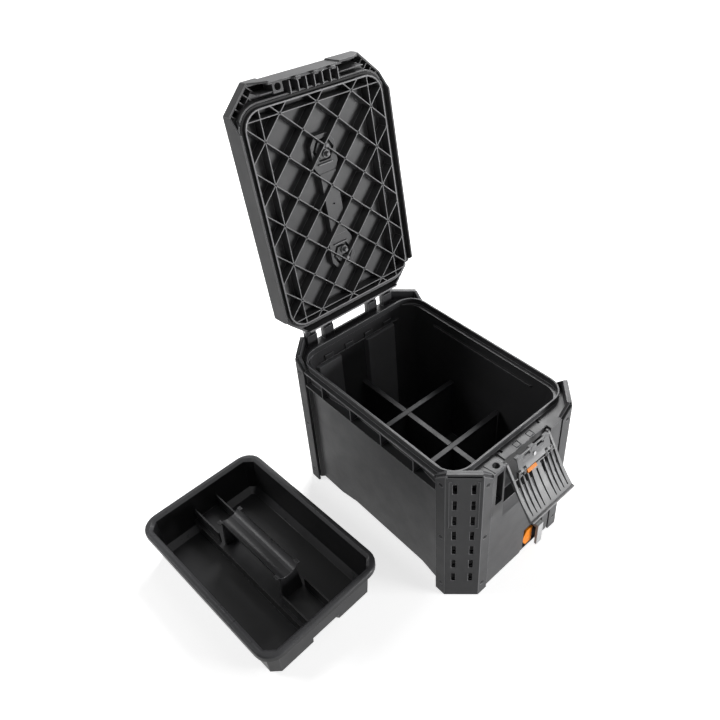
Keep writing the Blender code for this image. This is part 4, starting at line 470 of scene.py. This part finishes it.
def loft(bm, rings):
    """A closed solid through rings of equally many points."""
    loops = [[bm.verts.new(point) for point in ring] for ring in rings]
    faces = []
    for low, high in zip(loops, loops[1:]):
        count = len(low)
        for i in range(count):
            j = (i + 1) % count
            faces.append(bm.faces.new((low[i], low[j], high[j], high[i])))
    faces.append(bm.faces.new(list(reversed(loops[0]))))
    faces.append(bm.faces.new(loops[-1]))
    bmesh.ops.recalc_face_normals(bm, faces=faces)


def along_axis(axis, distance, u, v):
    """The point at a distance along an axis and at (u, v) across it."""
    if axis == "X":
        return (distance, u, v)
    if axis == "Y":
        return (u, distance, v)
    return (u, v, distance)


def prism(bm, outline, low, high, axis="Z"):
    """A solid with one outline all along an axis."""
    loft(bm, [[along_axis(axis, end, u, v) for u, v in outline] for end in (low, high)])


def rectangle(us, vs):
    """The corners between two pairs of ends, which may be given either way round."""
    (u0, u1), (v0, v1) = sorted(us), sorted(vs)
    return [(u0, v0), (u1, v0), (u1, v1), (u0, v1)]


def block(bm, xs, ys, zs):
    """A box between three pairs of ends."""
    prism(bm, rectangle(xs, ys), *sorted(zs))


def polygon(centre, radius, sides=ROUND_SIDES):
    """The corners of a regular polygon."""
    turn = 2 * math.pi / sides
    x, y = centre
    corners = [turn * i for i in range(sides)]
    return [(x + radius * math.cos(angle), y + radius * math.sin(angle)) for angle in corners]


def turned(bm, centre, profile, sides=ROUND_SIDES):
    """A round solid along Z, through (height, radius) steps."""
    loft(bm, [[(x, y, height) for x, y in polygon(centre, radius, sides)] for height, radius in profile])


def tube(bm, outer, inner, low, high):
    """A wall between two outlines of equally many points."""
    count = len(outer)
    rings = []
    for (ox, oy), (ix, iy) in zip(outer, inner):
        section = ((ox, oy, low), (ox, oy, high), (ix, iy, high), (ix, iy, low))
        rings.append([bm.verts.new(point) for point in section])
    faces = []
    for i in range(count):
        near, far = rings[i], rings[(i + 1) % count]
        for k in range(4):
            m = (k + 1) % 4
            faces.append(bm.faces.new((near[k], near[m], far[m], far[k])))
    bmesh.ops.recalc_face_normals(bm, faces=faces)


def round_edges(obj, width):
    """Rounds a piece's sharp edges; where the piece has a second material, the rounding takes it as a painted
    highlight.
    """
    bevel = obj.modifiers.new("rounded_edges", "BEVEL")
    bevel.width = width
    bevel.segments = EDGE_SEGMENTS
    bevel.limit_method = "ANGLE"
    bevel.angle_limit = EDGE_ANGLE
    bevel.use_clamp_overlap = False
    if len(obj.data.materials) > 1:
        bevel.material = 1
    weighted = obj.modifiers.new("flat_faces", "WEIGHTED_NORMAL")
    weighted.keep_sharp = True


def smooth(obj):
    """Smooth shading, with sharp edges kept sharp."""
    obj.data.shade_smooth()
    obj.data.set_sharp_from_angle(angle=SMOOTH_ANGLE)


def carve(obj, cutter):
    """Cuts one mesh, which is used up, out of another."""
    modifier = obj.modifiers.new("carved", "BOOLEAN")
    modifier.operation = "DIFFERENCE"
    modifier.solver = "EXACT"
    modifier.use_self = True
    modifier.object = cutter
    graph = bpy.context.evaluated_depsgraph_get()
    mesh = bpy.data.meshes.new_from_object(obj.evaluated_get(graph))
    obj.modifiers.clear()
    obj.data = mesh
    bpy.data.objects.remove(cutter, do_unlink=True)
    return obj


def copy_of(node, rest=AT_REST):
    """A CAD node's mesh in quads where it can be, turned back to where it was modelled."""
    bm = bmesh.new()
    bm.from_mesh(frame["nodes"][node].data)
    bmesh.ops.remove_doubles(bm, verts=bm.verts, dist=WELD)
    bmesh.ops.join_triangles(
        bm, faces=bm.faces, angle_face_threshold=FLAT_ANGLE, angle_shape_threshold=ANY_SHAPE
    )
    bmesh.ops.transform(bm, matrix=rest.inverted(), verts=bm.verts)
    return add_mesh(node + "_finished", bm)


def dress(obj, body, slot, rest=AT_REST, edge=EDGE, stands_for=()):
    """Gives a new piece its place, edges, material and body."""
    smooth(obj)
    obj.data.materials.clear()
    obj.data.materials.append(LOOKS[slot])
    # The second material is the slot's plastic made paler: a painted highlight for rounded edges and picked faces
    if slot in HIGHLIGHT_LOOKS:
        obj.data.materials.append(HIGHLIGHT_LOOKS[slot])
    for face in obj.data.polygons:
        face.material_index = 0
    if edge:
        round_edges(obj, edge)
    obj.matrix_world = rest
    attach(obj, body)
    if stands_for:
        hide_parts(*stands_for)
    return obj


def finished(node, rest=AT_REST, edge=EDGE):
    """A copy of a CAD node that stands for it, with rounded edges."""
    return dress(copy_of(node, rest), BODY_OF[node], SLOT_OF[node], rest, edge, (node,))


def detail(name, build, body, slot, rest=AT_REST, edge=FINE_EDGE, all_painted_light=False):
    """A new piece whose solids a function adds, and which may take the paler copy on all its faces: a painted
    highlight or painted light.
    """
    bm = bmesh.new()
    build(bm)
    made = dress(add_mesh(name, bm), body, slot, rest, edge)
    for face in made.data.polygons:
        face.material_index = 1 if all_painted_light else 0
    return made


# Lid


def crossings():
    """The crossings of the lid's diagonal ribs, except under the handle's housings."""
    spots = []
    for i in range(-LATTICE_STEPS_X, LATTICE_STEPS_X + 1):
        for j in range(-LATTICE_STEPS_Y, LATTICE_STEPS_Y + 1):
            spot = (i * RIB_STEP, j * RIB_STEP)
            housed = i == 0 and abs(abs(spot[1]) - HANDLE_MOUNT_Y) < RIB_STEP / 2
            if (i + j) % 2 == 1 and not housed:
                spots.append(spot)
    return spots


def lattice_bosses(bm):
    """A small tube on each crossing."""
    for spot in crossings():
        outer = polygon(spot, BOSS_RADIUS)
        tube(bm, outer, polygon(spot, BOSS_HOLE), RIB_LOW - BOSS_PROUD, LID_CEILING + SINK)


def ridge_line(offset):
    """The rounded outline of the box's lip, moved outwards."""
    points = []
    for corner, (sx, sy) in enumerate(((1, 1), (-1, 1), (-1, -1), (1, -1))):
        x = sx * (LIP_HALF_WIDTH - LIP_RADIUS)
        y = LIP_CENTRE_Y + sy * (LIP_HALF_DEPTH - LIP_RADIUS)
        for step in range(CORNER_STEPS + 1):
            angle = math.pi / 2 * (corner + step / CORNER_STEPS)
            radius = LIP_RADIUS + offset
            points.append((x + radius * math.cos(angle), y + radius * math.sin(angle)))
    return points


def lid_cuts(bm):
    """Holes in the crossings, a groove along the outer ridge and pockets in the front rim."""
    for spot in crossings():
        hole = [(RIB_LOW - CUT_MARGIN, BOSS_HOLE), (RIB_LOW + BOSS_HOLE_DEPTH, BOSS_HOLE)]
        turned(bm, spot, hole, HOLE_SIDES)
    groove = (ridge_line(RIDGE_GROOVE_OUTER), ridge_line(RIDGE_GROOVE_INNER))
    tube(bm, *groove, LEDGE - CUT_MARGIN, LEDGE + RIDGE_GROOVE_DEPTH)
    for side, near in POCKET_NEAR.items():
        front = [(side * near, POCKET_FRONT), (side * POCKET_FAR, POCKET_FRONT)]
        rear = [(side * POCKET_WIDE, POCKET_REAR), (side * near, POCKET_REAR)]
        prism(bm, front + rear, LID_CEILING - CUT_MARGIN, POCKET_TOP)


def lid_shell():
    """The lid, with a painted highlight on the tips of its ribs and ridges."""
    cuts = bmesh.new()
    lid_cuts(cuts)
    made = carve(copy_of("lid_shell", LID_REST), add_mesh("lid_cuts", cuts))
    dress(made, "lid", "lid", LID_REST, FINE_EDGE, ("lid_shell",))
    for face in made.data.polygons:
        # Rib and ridge tips, facing down when closed, take the painted highlight
        tip = face.normal.z < FACES_DOWN and face.center.z < RIB_LOW + SINK
        if tip and abs(face.center.z - LID_LOW) > SINK:
            face.material_index = 1


def housing_outline(side):
    """A housing's plate, which widens out of the middle strip and narrows to the lid's end."""
    right = [(x, side * y) for x, y in HOUSING_HALF]
    return right + [(-x, side * y) for x, y in reversed(HOUSING_HALF)]


def handle_housings():
    """A raised strip between the handle's two housings, each a plate with a hexagonal groove."""
    bm = bmesh.new()
    xs = (-STRIP_HALF_WIDTH, STRIP_HALF_WIDTH)
    block(bm, xs, (-STRIP_HALF_LENGTH, STRIP_HALF_LENGTH), (STRIP_FACE, LID_CEILING + SINK))
    for side in SIDES:
        prism(bm, housing_outline(side), HOUSING_FACE, LID_CEILING + SINK)
    made = add_mesh("lid_handle_housings", bm)
    cuts = bmesh.new()
    hole = [(STRIP_FACE - CUT_MARGIN, STRIP_HOLE), (STRIP_HOLE_TOP, STRIP_HOLE)]
    turned(cuts, (0.0, 0.0), hole, STRIP_HOLE_SIDES)
    for side in SIDES:
        middle = (0.0, side * HOUSING_Y)
        hexagons = [polygon(middle, radius, HEXAGON_SIDES) for radius in (HEXAGON_OUTER, HEXAGON_INNER)]
        tube(cuts, *hexagons, HOUSING_FACE - CUT_MARGIN, HEXAGON_TOP)
    carve(made, add_mesh("housing_cuts", cuts))
    dress(made, "lid", "lid", LID_REST, FINE_EDGE)


def housing_studs(bm):
    """Two domed studs on each housing, the inner one in a collar, and a bar across the plate."""
    for side in SIDES:
        for offset in SIDES:
            turned(bm, (STUD_X, side * HOUSING_Y + offset * STUD_SPREAD), STUD_PROFILE)
        inner = (STUD_X, side * (HOUSING_Y - STUD_SPREAD))
        tube(bm, polygon(inner, COLLAR_OUTER), polygon(inner, COLLAR_INNER), COLLAR_LOW, STUD_ROOT)
        block(bm, BAR_XS, (side * BAR_NEAR, side * BAR_FAR), (BAR_LOW, STUD_ROOT))


def ladder_point(along, inwards):
    """A place behind the lid's front left chamfer: along it towards the side, and in from its wall."""
    tangent = Vector((-1.0, 1.0)).normalized()
    inward = Vector((1.0, 1.0)).normalized()
    return tuple(LID_CHAMFER + tangent * along + inward * (LADDER_WALL + inwards))


def past_ridge(x, y):
    """Whether a place lies outside the lid's outer ridge."""
    across = max(abs(x) - (LIP_HALF_WIDTH - LIP_RADIUS), 0.0)
    ahead = max(abs(y - LIP_CENTRE_Y) - (LIP_HALF_DEPTH - LIP_RADIUS), 0.0)
    return math.hypot(across, ahead) > LIP_RADIUS + RIDGE_OUTER


def ladder_rib(bm, alongs, inwards):
    """A low rib between two pairs of ends behind the chamfer."""
    spots = rectangle(alongs, inwards)
    prism(bm, [ladder_point(*spot) for spot in spots], LADDER_LOW, LID_CEILING + SINK)


def front_corner_ribs(bm):
    """A long rib on each side of the front cells, and a ladder of short ribs behind the left chamfer."""
    for side, near in LONG_RIB_NEAR.items():
        xs = (side * near, side * LONG_RIB_FAR)
        block(bm, xs, LONG_RIB_YS, (LID_LOW + LONG_RIB_LIFT, LID_CEILING + SINK))
    for rung in LADDER_RUNGS:
        middle = rung * LADDER_PITCH
        inner = LADDER_WALL
        while inner < LADDER_REACH and past_ridge(*ladder_point(middle, inner + LADDER_STEP)):
            inner += LADDER_STEP
        ladder_rib(bm, (middle - LADDER_RIB / 2, middle + LADDER_RIB / 2), (0.0, inner))
    ladder_rib(bm, LADDER_RAIL_ENDS, (LADDER_RAIL, LADDER_RAIL + LADDER_RIB))


# Latch lever


def lever_gap(bm, x, drop, half_width, depth):
    """A wedge between two of the lever's strips, wide at the top."""
    top = LEVER_TOP - drop
    low = LEVER_TOP - LEVER_GAP_LENGTH
    upper = [(x - half_width, top), (x + half_width, top)]
    lower = [(x + LEVER_GAP_FOOT, low), (x - LEVER_GAP_FOOT, low)]
    prism(bm, upper + lower, LEVER_FRONT - CUT_MARGIN, LEVER_FRONT + depth, "Y")


def latch_lever():
    """The lever, with a shallow gap in the middle and deeper ones on both sides."""
    gaps = bmesh.new()
    lever_gap(gaps, 0.0, *MIDDLE_GAP)
    for side in SIDES:
        for step in range(LEVER_SIDE_GAPS):
            lever_gap(gaps, side * (LEVER_BROAD_PITCH + LEVER_NARROW_PITCH * step), *SIDE_GAP)
    made = carve(copy_of("latch_lever", LEVER_REST), add_mesh("lever_gaps", gaps))
    dress(made, "latch_lever", "latch", LEVER_REST, FINE_EDGE, ("latch_lever",))


# Hook plate


def plate_fill(bm):
    """Closes the low windows of the solid plate."""
    for side in SIDES:
        block(bm, [side * x for x in FILL_XS], FILL_YS, FILL_ZS)


def hook_plate():
    """The plate, with a window between each two hooks."""
    cuts = bmesh.new()
    for side in SIDES:
        block(cuts, [side * x for x in WINDOW_XS], WINDOW_YS, WINDOW_ZS)
    made = carve(copy_of("latch_hook_plate", PLATE_REST), add_mesh("plate_windows", cuts))
    dress(made, "latch_hook", "hook", PLATE_REST, FINE_EDGE, ("latch_hook_plate",))


def plate_caps(bm):
    """A cap on each hook, folded over the plate's top edge."""
    for hook in HOOKS:
        xs = (hook - CAP_HALF_WIDTH, hook + CAP_HALF_WIDTH)
        block(bm, xs, (CAP_FRONT, CAP_REAR), (CAP_TOP - CAP_THICKNESS, CAP_TOP))
        block(bm, xs, (CAP_FRONT, CAP_FRONT + CAP_THICKNESS), (CAP_LOW, CAP_TOP))


# Box


def tray_ledges(bm):
    """A ledge along each side inside the box, that the tray hangs on, with chamfered ends."""
    for side in SIDES:
        wall = side * CAVITY_HALF_WIDTH
        face = side * (CAVITY_HALF_WIDTH - TRAY_LEDGE_DEPTH)
        front = [(wall, TRAY_LEDGE_FRONT), (face, TRAY_LEDGE_FRONT + TRAY_LEDGE_CHAMFER)]
        rear = [(face, TRAY_LEDGE_REAR - TRAY_LEDGE_CHAMFER), (wall, TRAY_LEDGE_REAR)]
        prism(bm, front + rear, *TRAY_LEDGE_ZS)


def rear_panels(bm):
    """Raised panels on the rear wall inside the box."""
    for left, right in REAR_PANELS:
        rings = []
        for y, z in ((REAR_LOW_Y, CAVITY_FLOOR), (REAR_HIGH_Y, REAR_PANEL_TOP)):
            face = y - REAR_PANEL_DEPTH
            front = [(left + REAR_PANEL_SLOPE, face, z), (right - REAR_PANEL_SLOPE, face, z)]
            rings.append(front + [(right, y + SINK, z), (left, y + SINK, z)])
        loft(bm, rings)


def rear_shelf(bm):
    """A thin shelf over the rear panels, with four tabs on it."""
    xs = (-SHELF_HALF_WIDTH, SHELF_HALF_WIDTH)
    block(bm, xs, (REAR_HIGH_Y - SHELF_DEPTH, CAVITY_REAR), (SHELF_LOW, SHELF_TOP))
    for middle in SHELF_TABS:
        xs = (middle - SHELF_TAB_HALF_WIDTH, middle + SHELF_TAB_HALF_WIDTH)
        block(bm, xs, (REAR_HIGH_Y - SHELF_TAB_DEPTH, CAVITY_REAR), (SHELF_TOP, SHELF_TAB_TOP))


def hinge_blocks(bm):
    """Blocks that the ears of each hinge group stand on, and a low sill between the middle two."""
    ys = (HINGE_BLOCK_FRONT, HINGE_BLOCK_REAR)
    for middle in HINGE_GROUPS:
        outline = rectangle(ys, (LEDGE - SINK, HINGE_BLOCK_TOP))
        prism(bm, outline, middle - HINGE_BLOCK_HALF_WIDTH, middle + HINGE_BLOCK_HALF_WIDTH, "X")
    xs = (-HINGE_SILL_HALF_WIDTH, HINGE_SILL_HALF_WIDTH)
    block(bm, xs, (HINGE_BLOCK_FRONT, HINGE_SILL_REAR), (LEDGE - SINK, HINGE_SILL_TOP))


def square_outline(x, inset):
    """The outline of a square on the front ledge, moved inwards."""
    xs = (x - SQUARE_HALF_WIDTH + inset, x + SQUARE_HALF_WIDTH - inset)
    return rectangle(xs, (SQUARE_FRONT + inset, SQUARE_REAR - inset))


def box_cuts(bm):
    """Square grooves, corner notches and a channel in the front ledge, and a cavity behind the lever."""
    over = LEDGE + CUT_MARGIN
    for x in SQUARES:
        tube(bm, square_outline(x, 0.0), square_outline(x, SQUARE_LINE), LEDGE - SQUARE_DEPTH, over)
    for x, turn in NOTCHES:
        end = x + turn * NOTCH_LENGTH
        zs = (LEDGE - NOTCH_DEPTH, over)
        block(bm, (x, end), (NOTCH_BEND, NOTCH_REAR), zs)
        block(bm, (x + turn * NOTCH_FOOT, end), (NOTCH_FRONT, NOTCH_BEND), zs)
    block(bm, CHANNEL_XS, (CHANNEL_FRONT, NOTCH_REAR), (LEDGE - CHANNEL_DEPTH, over))
    xs = (-LEVER_CAVITY_HALF_WIDTH, LEVER_CAVITY_HALF_WIDTH)
    block(bm, xs, LEVER_CAVITY_YS, LEVER_CAVITY_ZS)


def in_bend(place):
    """Whether a place lies where the side walls bend."""
    return BEND_XS[0] < abs(place.x) < BEND_XS[1] and abs(place.y) < BEND_REACH


def box_body():
    """The box, with a crease at each bend of its side walls."""
    cuts = bmesh.new()
    box_cuts(cuts)
    made = carve(copy_of("box_body"), add_mesh("box_cuts", cuts))
    dress(made, "box", "shell", AT_REST, EDGE, ("box_body",))
    for edge in made.data.edges:
        low, high = (made.data.vertices[index].co for index in edge.vertices)
        upright = abs(high.z - low.z) > BEND_HEIGHT
        if upright and in_bend(low) and in_bend(high):
            edge.use_edge_sharp = True


def padlock_plate():
    """A low plate on the ledge round the padlock's hole."""
    bm = bmesh.new()
    prism(bm, PADLOCK_PLATE, LEDGE - SINK, LEDGE + PADLOCK_PLATE_HEIGHT)
    made = add_mesh("box_padlock_plate", bm)
    hole = bmesh.new()
    ends = (LEDGE - CUT_MARGIN, LEDGE + CUT_MARGIN)
    turned(hole, PADLOCK_HOLE, [(end, PADLOCK_HOLE_RADIUS) for end in ends])
    carve(made, add_mesh("padlock_hole", hole))
    dress(made, "box", "shell", AT_REST, FINE_EDGE)


# Corner guards


def chamfer_point(quarter, along, out):
    """A place on a corner's chamfer: how far along it from its middle, and how far out of its face."""
    sx, sy = quarter
    middle = Vector((sx * (HALF_WIDTH - CORNER_LEG / 2), sy * (HALF_DEPTH - CORNER_LEG / 2)))
    tangent = Vector((-sx, sy)).normalized()
    outwards = Vector((sx, sy)).normalized()
    return tuple(middle + tangent * along + outwards * out)


def on_chamfer(bm, quarter, spots, low, high):
    """An upright solid through places on a corner's chamfer."""
    prism(bm, [chamfer_point(quarter, along, out) for along, out in spots], low, high)


def corner_guard(quarter_name):
    """A guard whose top stands back under the box's rim."""
    cuts = bmesh.new()
    half = GUARD_STEP_HALF_WIDTH
    spots = ((-half, CUT_MARGIN), (half, CUT_MARGIN), (half, -GUARD_STEP_DEPTH), (-half, -GUARD_STEP_DEPTH))
    on_chamfer(cuts, QUARTERS[quarter_name], spots, *GUARD_STEP_ZS)
    node = "corner_guard_" + quarter_name
    made = carve(copy_of(node), add_mesh("guard_cuts", cuts))
    dress(made, "box", "guard", AT_REST, EDGE, (node,))


def horn_rims(bm):
    """A rim on each corner horn, over the top of the guard."""
    front = [(-HORN_RIM_HALF_WIDTH, HORN_RIM_OUT), (HORN_RIM_HALF_WIDTH, HORN_RIM_OUT)]
    back = [(HORN_RIM_BACK_HALF_WIDTH, HORN_RIM_BACK), (-HORN_RIM_BACK_HALF_WIDTH, HORN_RIM_BACK)]
    for quarter in QUARTERS.values():
        on_chamfer(bm, quarter, front + back, *HORN_RIM_ZS)


def guard_beads(quarter):
    """Thin raised brackets on both sides of a guard's slots."""
    bars = (
        (BEAD_FAR - BEAD_WIDTH, BEAD_LOW, BEAD_TOP),
        (BEAD_ARM_NEAR, BEAD_LOW - BEAD_WIDTH, BEAD_LOW),
        (BEAD_ARM_NEAR, BEAD_TOP, BEAD_TOP + BEAD_WIDTH),
    )

    def build(bm):
        for side in SIDES:
            for near, low, high in bars:
                root = [(side * near, -SINK), (side * BEAD_FAR, -SINK)]
                face = [(side * BEAD_FAR, BEAD_HEIGHT), (side * near, BEAD_HEIGHT)]
                on_chamfer(bm, quarter, root + face, low, high)
    return build


def screw_mesh():
    """A pan-head screw with a cross recess, its head's top at the origin and facing +Z."""
    bm = bmesh.new()
    turned(bm, (0.0, 0.0), SCREW_PROFILE)
    screw = add_mesh("guard_screw", bm)
    cross = bmesh.new()
    arms = (CROSS_HALF_LENGTH, CROSS_HALF_WIDTH)
    for half_x, half_y in (arms, reversed(arms)):
        block(cross, (-half_x, half_x), (-half_y, half_y), (-CROSS_DEPTH, CUT_MARGIN))
    carve(screw, add_mesh("cross_recess", cross))
    smooth(screw)
    mesh = screw.data
    mesh.materials.clear()
    mesh.materials.append(LOOKS["dark_steel"])
    bpy.data.objects.remove(screw, do_unlink=True)
    return mesh


def guard_screws():
    """A screw in each guard screw's place; the odd ones face sideways, the even ones along Y."""
    mesh = screw_mesh()
    for node in sorted(frame["nodes"]):
        if not node.startswith("guard_screw"):
            continue
        low, high = (Vector(corner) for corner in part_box(node))
        middle = (low + high) / 2
        sideways = int(node.rsplit("_", 1)[1]) % 2 == 1
        out = Vector((1, 0, 0)) if sideways else Vector((0, 1, 0))
        out *= 1 if middle.dot(out) > 0 else -1
        reach = (high - low).dot(Vector((abs(out.x), abs(out.y), 0.0))) / 2
        screw = bpy.data.objects.new(node + "_head", mesh)
        bpy.context.scene.collection.objects.link(screw)
        facing = out.to_track_quat("Z", "Y").to_matrix().to_4x4()
        screw.matrix_world = Matrix.Translation(middle + out * reach) @ facing
        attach(screw, "box")
        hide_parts(node)


# Tray


def in_mouth(edge):
    """Whether an edge lies inside the tray's mouth."""
    places = [vert.co for vert in edge.verts]
    return all(abs(place.x) < TRAY_MOUTH_X and abs(place.y) < TRAY_MOUTH_Y for place in places)


def tray_body():
    """The tray, its rim chamfered inside and rounded outside, with a painted highlight on the rim and the coves.
    """
    obj = copy_of("tray_body", TRAY_REST)
    bm = bmesh.new()
    bm.from_mesh(obj.data)
    top = [edge for edge in bm.edges if min(vert.co.z for vert in edge.verts) > TRAY_TOP - WELD * 10]
    sharp = [edge for edge in top if any(face.normal.z < FACES_ASIDE for face in edge.link_faces)]
    inner = [edge for edge in sharp if in_mouth(edge)]
    outer = [edge for edge in sharp if not in_mouth(edge)]
    bmesh.ops.bevel(
        bm, geom=inner, offset=TRAY_RIM_CHAMFER, segments=1, affect="EDGES", clamp_overlap=True
    )
    outer = [edge for edge in outer if edge.is_valid]
    bmesh.ops.bevel(
        bm, geom=outer, offset=TRAY_RIM_ROUND, segments=TRAY_RIM_SEGMENTS, profile=0.5,
        affect="EDGES", clamp_overlap=True,
    )
    bm.to_mesh(obj.data)
    bm.free()
    dress(obj, "tray", "tray", TRAY_REST, FINE_EDGE, ("tray_body",))
    for face in obj.data.polygons:
        # The rim's top and the floor's coves take the painted highlight
        rim = face.center.z > TRAY_TOP - TRAY_RIM_DEPTH and face.normal.z > RIM_SLOPE
        cove = face.center.z < TRAY_COVE_TOP and COVE_SLOPE[0] < face.normal.z < COVE_SLOPE[1]
        if rim or cove:
            face.material_index = 1


def tray_grip():
    """The grip, with a painted highlight on the right slope of its gutter."""
    made = finished("tray_grip")
    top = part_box("tray_grip")[1][2]
    for face in made.data.polygons:
        # The gutter's right slope takes the painted highlight
        slope = face.normal.z > GUTTER_UP and face.normal.x < GUTTER_LEFT
        if slope and face.center.z > top - GRIP_GUTTER_DEPTH:
            face.material_index = 1


# Studio


def seen_directly(tree):
    """One where a ray comes from the camera, a reflection or a clear piece."""
    path = tree.nodes.new("ShaderNodeLightPath")
    first = tree.nodes.new("ShaderNodeMath")
    first.operation = "MAXIMUM"
    second = tree.nodes.new("ShaderNodeMath")
    second.operation = "MAXIMUM"
    tree.links.new(path.outputs["Is Camera Ray"], first.inputs[0])
    tree.links.new(path.outputs["Is Glossy Ray"], first.inputs[1])
    tree.links.new(first.outputs[0], second.inputs[0])
    tree.links.new(path.outputs["Is Transmission Ray"], second.inputs[1])
    return second.outputs[0]


def farther(tree, near, far):
    """A value that grows with the distance from the floor's middle."""
    coords = tree.nodes.new("ShaderNodeTexCoord")
    away = tree.nodes.new("ShaderNodeVectorMath")
    away.operation = "LENGTH"
    tree.links.new(coords.outputs["Object"], away.inputs[0])
    return spread(tree, away.outputs["Value"], near, far, GLOW_NEAR, GLOW_FAR)


def studio():
    """A pale floor, brighter far away, and a world that shows white but gives little light."""
    bm = bmesh.new()
    bmesh.ops.create_grid(bm, x_segments=1, y_segments=1, size=FLOOR_HALF_WIDTH)
    floor = add_mesh("floor", bm)
    floor.location.z = -FLOOR_DROP
    made, tree, shader = shader_of("floor_paper")
    shader.inputs["Base Color"].default_value = (FLOOR_GREY, FLOOR_GREY, FLOOR_GREY, 1.0)
    shader.inputs["Roughness"].default_value = 0.9
    shader.inputs["Emission Color"].default_value = (1.0, 1.0, 1.0, 1.0)
    shown = spread(tree, seen_directly(tree), 0.0, 1.0, 0.0, 1.0)
    tree.links.new(farther(tree, FLOOR_GLOW_NEAR, FLOOR_GLOW_FAR), shown.node.inputs["To Max"])
    tree.links.new(shown, shader.inputs["Emission Strength"])
    floor.data.materials.append(made)

    world = bpy.data.worlds.new("studio_white")
    bpy.context.scene.world = world
    world.use_nodes = True
    tree = world.node_tree
    background = tree.nodes["Background"]
    background.inputs["Color"].default_value = (1.0, 1.0, 1.0, 1.0)
    strength = spread(tree, seen_directly(tree), WORLD_LIGHT, 1.0, 0.0, 1.0)
    tree.links.new(strength, background.inputs["Strength"])


def softbox(name, place, target, width, height, power):
    """A rectangular lamp that faces a target."""
    light = bpy.data.lights.new(name, "AREA")
    light.shape = "RECTANGLE"
    light.size = width
    light.size_y = height
    light.energy = power
    obj = bpy.data.objects.new(name, light)
    obj.location = place
    obj.rotation_euler = (Vector(target) - Vector(place)).to_track_quat("-Z", "Y").to_euler()
    bpy.context.scene.collection.objects.link(obj)


def lights():
    """A low lamp in front, two behind and a weak one overhead."""
    softbox("key_box", (1.39, -2.28, 0.42), LAMP_TARGET, width=1.0, height=0.6, power=76.0)
    softbox("rim_box", (1.25, 1.00, 1.95), LAMP_TARGET, width=0.9, height=0.9, power=70.0)
    softbox("back_box", (-1.65, 1.40, 1.60), BACK_TARGET, width=0.5, height=0.9, power=15.0)
    softbox("top_box", (0.30, -1.00, 2.20), LAMP_TARGET, width=0.8, height=0.8, power=4.0)


def camera():
    """The photograph's view."""
    lens = bpy.data.cameras.new("camera")
    lens.lens = LENS
    lens.sensor_width = SENSOR
    lens.sensor_fit = "HORIZONTAL"
    lens.shift_x = SHIFT_X
    lens.shift_y = SHIFT_Y
    lens.clip_start = CLIP_START
    obj = bpy.data.objects.new("camera", lens)
    obj.location = EYE
    obj.rotation_euler = (math.pi / 2 - ELEVATION, 0.0, AZIMUTH)
    bpy.context.scene.collection.objects.link(obj)
    bpy.context.scene.camera = obj
    bpy.context.scene.view_settings.view_transform = "Standard"


# The pieces

RESTS = {
    "lid": LID_REST,
    "carry_handle": LID_REST,
    "latch_lever": LEVER_REST,
    "latch_release_tab": LEVER_REST,
}
EDGES = {"carry_handle": SOFT_EDGE}
ROUNDED = ["carry_handle", "long_divider"]
ROUNDED += ["cross_divider_front", "cross_divider_rear", "stack_lock_tab", "stack_lock_catch"]
ROUNDED += ["latch_release_tab", "handle_mount_front", "handle_mount_rear", "lid_strike"]
OWN_SHAPE = ["box_body", "lid_shell", "latch_lever", "latch_hook_plate", "tray_body", "tray_grip"]
OWN_SHAPE += ["corner_guard_" + quarter_name for quarter_name in QUARTERS]


def plain_nodes(done):
    """Small pieces keep their solids and take the finish of their slot."""
    for node, obj in frame["nodes"].items():
        if node in done or node.startswith("guard_screw"):
            continue
        obj.data.materials.clear()
        look = "screw" if node == "hook_plate_screw" else SLOT_OF[node]
        obj.data.materials.append(LOOKS[look])


for rounded_node in ROUNDED:
    rest_place = RESTS.get(BODY_OF[rounded_node], AT_REST)
    finished(rounded_node, rest_place, EDGES.get(rounded_node, EDGE))
box_body()
padlock_plate()
lid_shell()
handle_housings()
latch_lever()
hook_plate()
tray_body()
tray_grip()
guard_screws()
plain_nodes(ROUNDED + OWN_SHAPE)
detail("lid_lattice_bosses", lattice_bosses, "lid", "lid", LID_REST)
# The studs carry a painted highlight on all their faces
detail("lid_housing_studs", housing_studs, "lid", "lid", LID_REST, all_painted_light=True)
detail("lid_corner_ribs", front_corner_ribs, "lid", "lid", LID_REST)
detail("box_tray_ledges", tray_ledges, "box", "shell")
# The rear panels carry painted light on all their faces, lighter than the wall around them
detail("box_rear_panels", rear_panels, "box", "shell", all_painted_light=True)
detail("box_rear_shelf", rear_shelf, "box", "shell")
detail("box_horn_rims", horn_rims, "box", "shell")
detail("hook_plate_fill", plate_fill, "latch_hook", "hook", PLATE_REST, 0.0)
detail("hook_plate_caps", plate_caps, "latch_hook", "hook", PLATE_REST)
detail("box_hinge_blocks", hinge_blocks, "box", "shell")
for quarter_name, corner_quarter in QUARTERS.items():
    corner_guard(quarter_name)
    beads = guard_beads(corner_quarter)
    # The beads carry a painted highlight on all their faces
    detail("guard_beads_" + quarter_name, beads, "box", "guard", edge=0.0, all_painted_light=True)
studio()
lights()
camera()
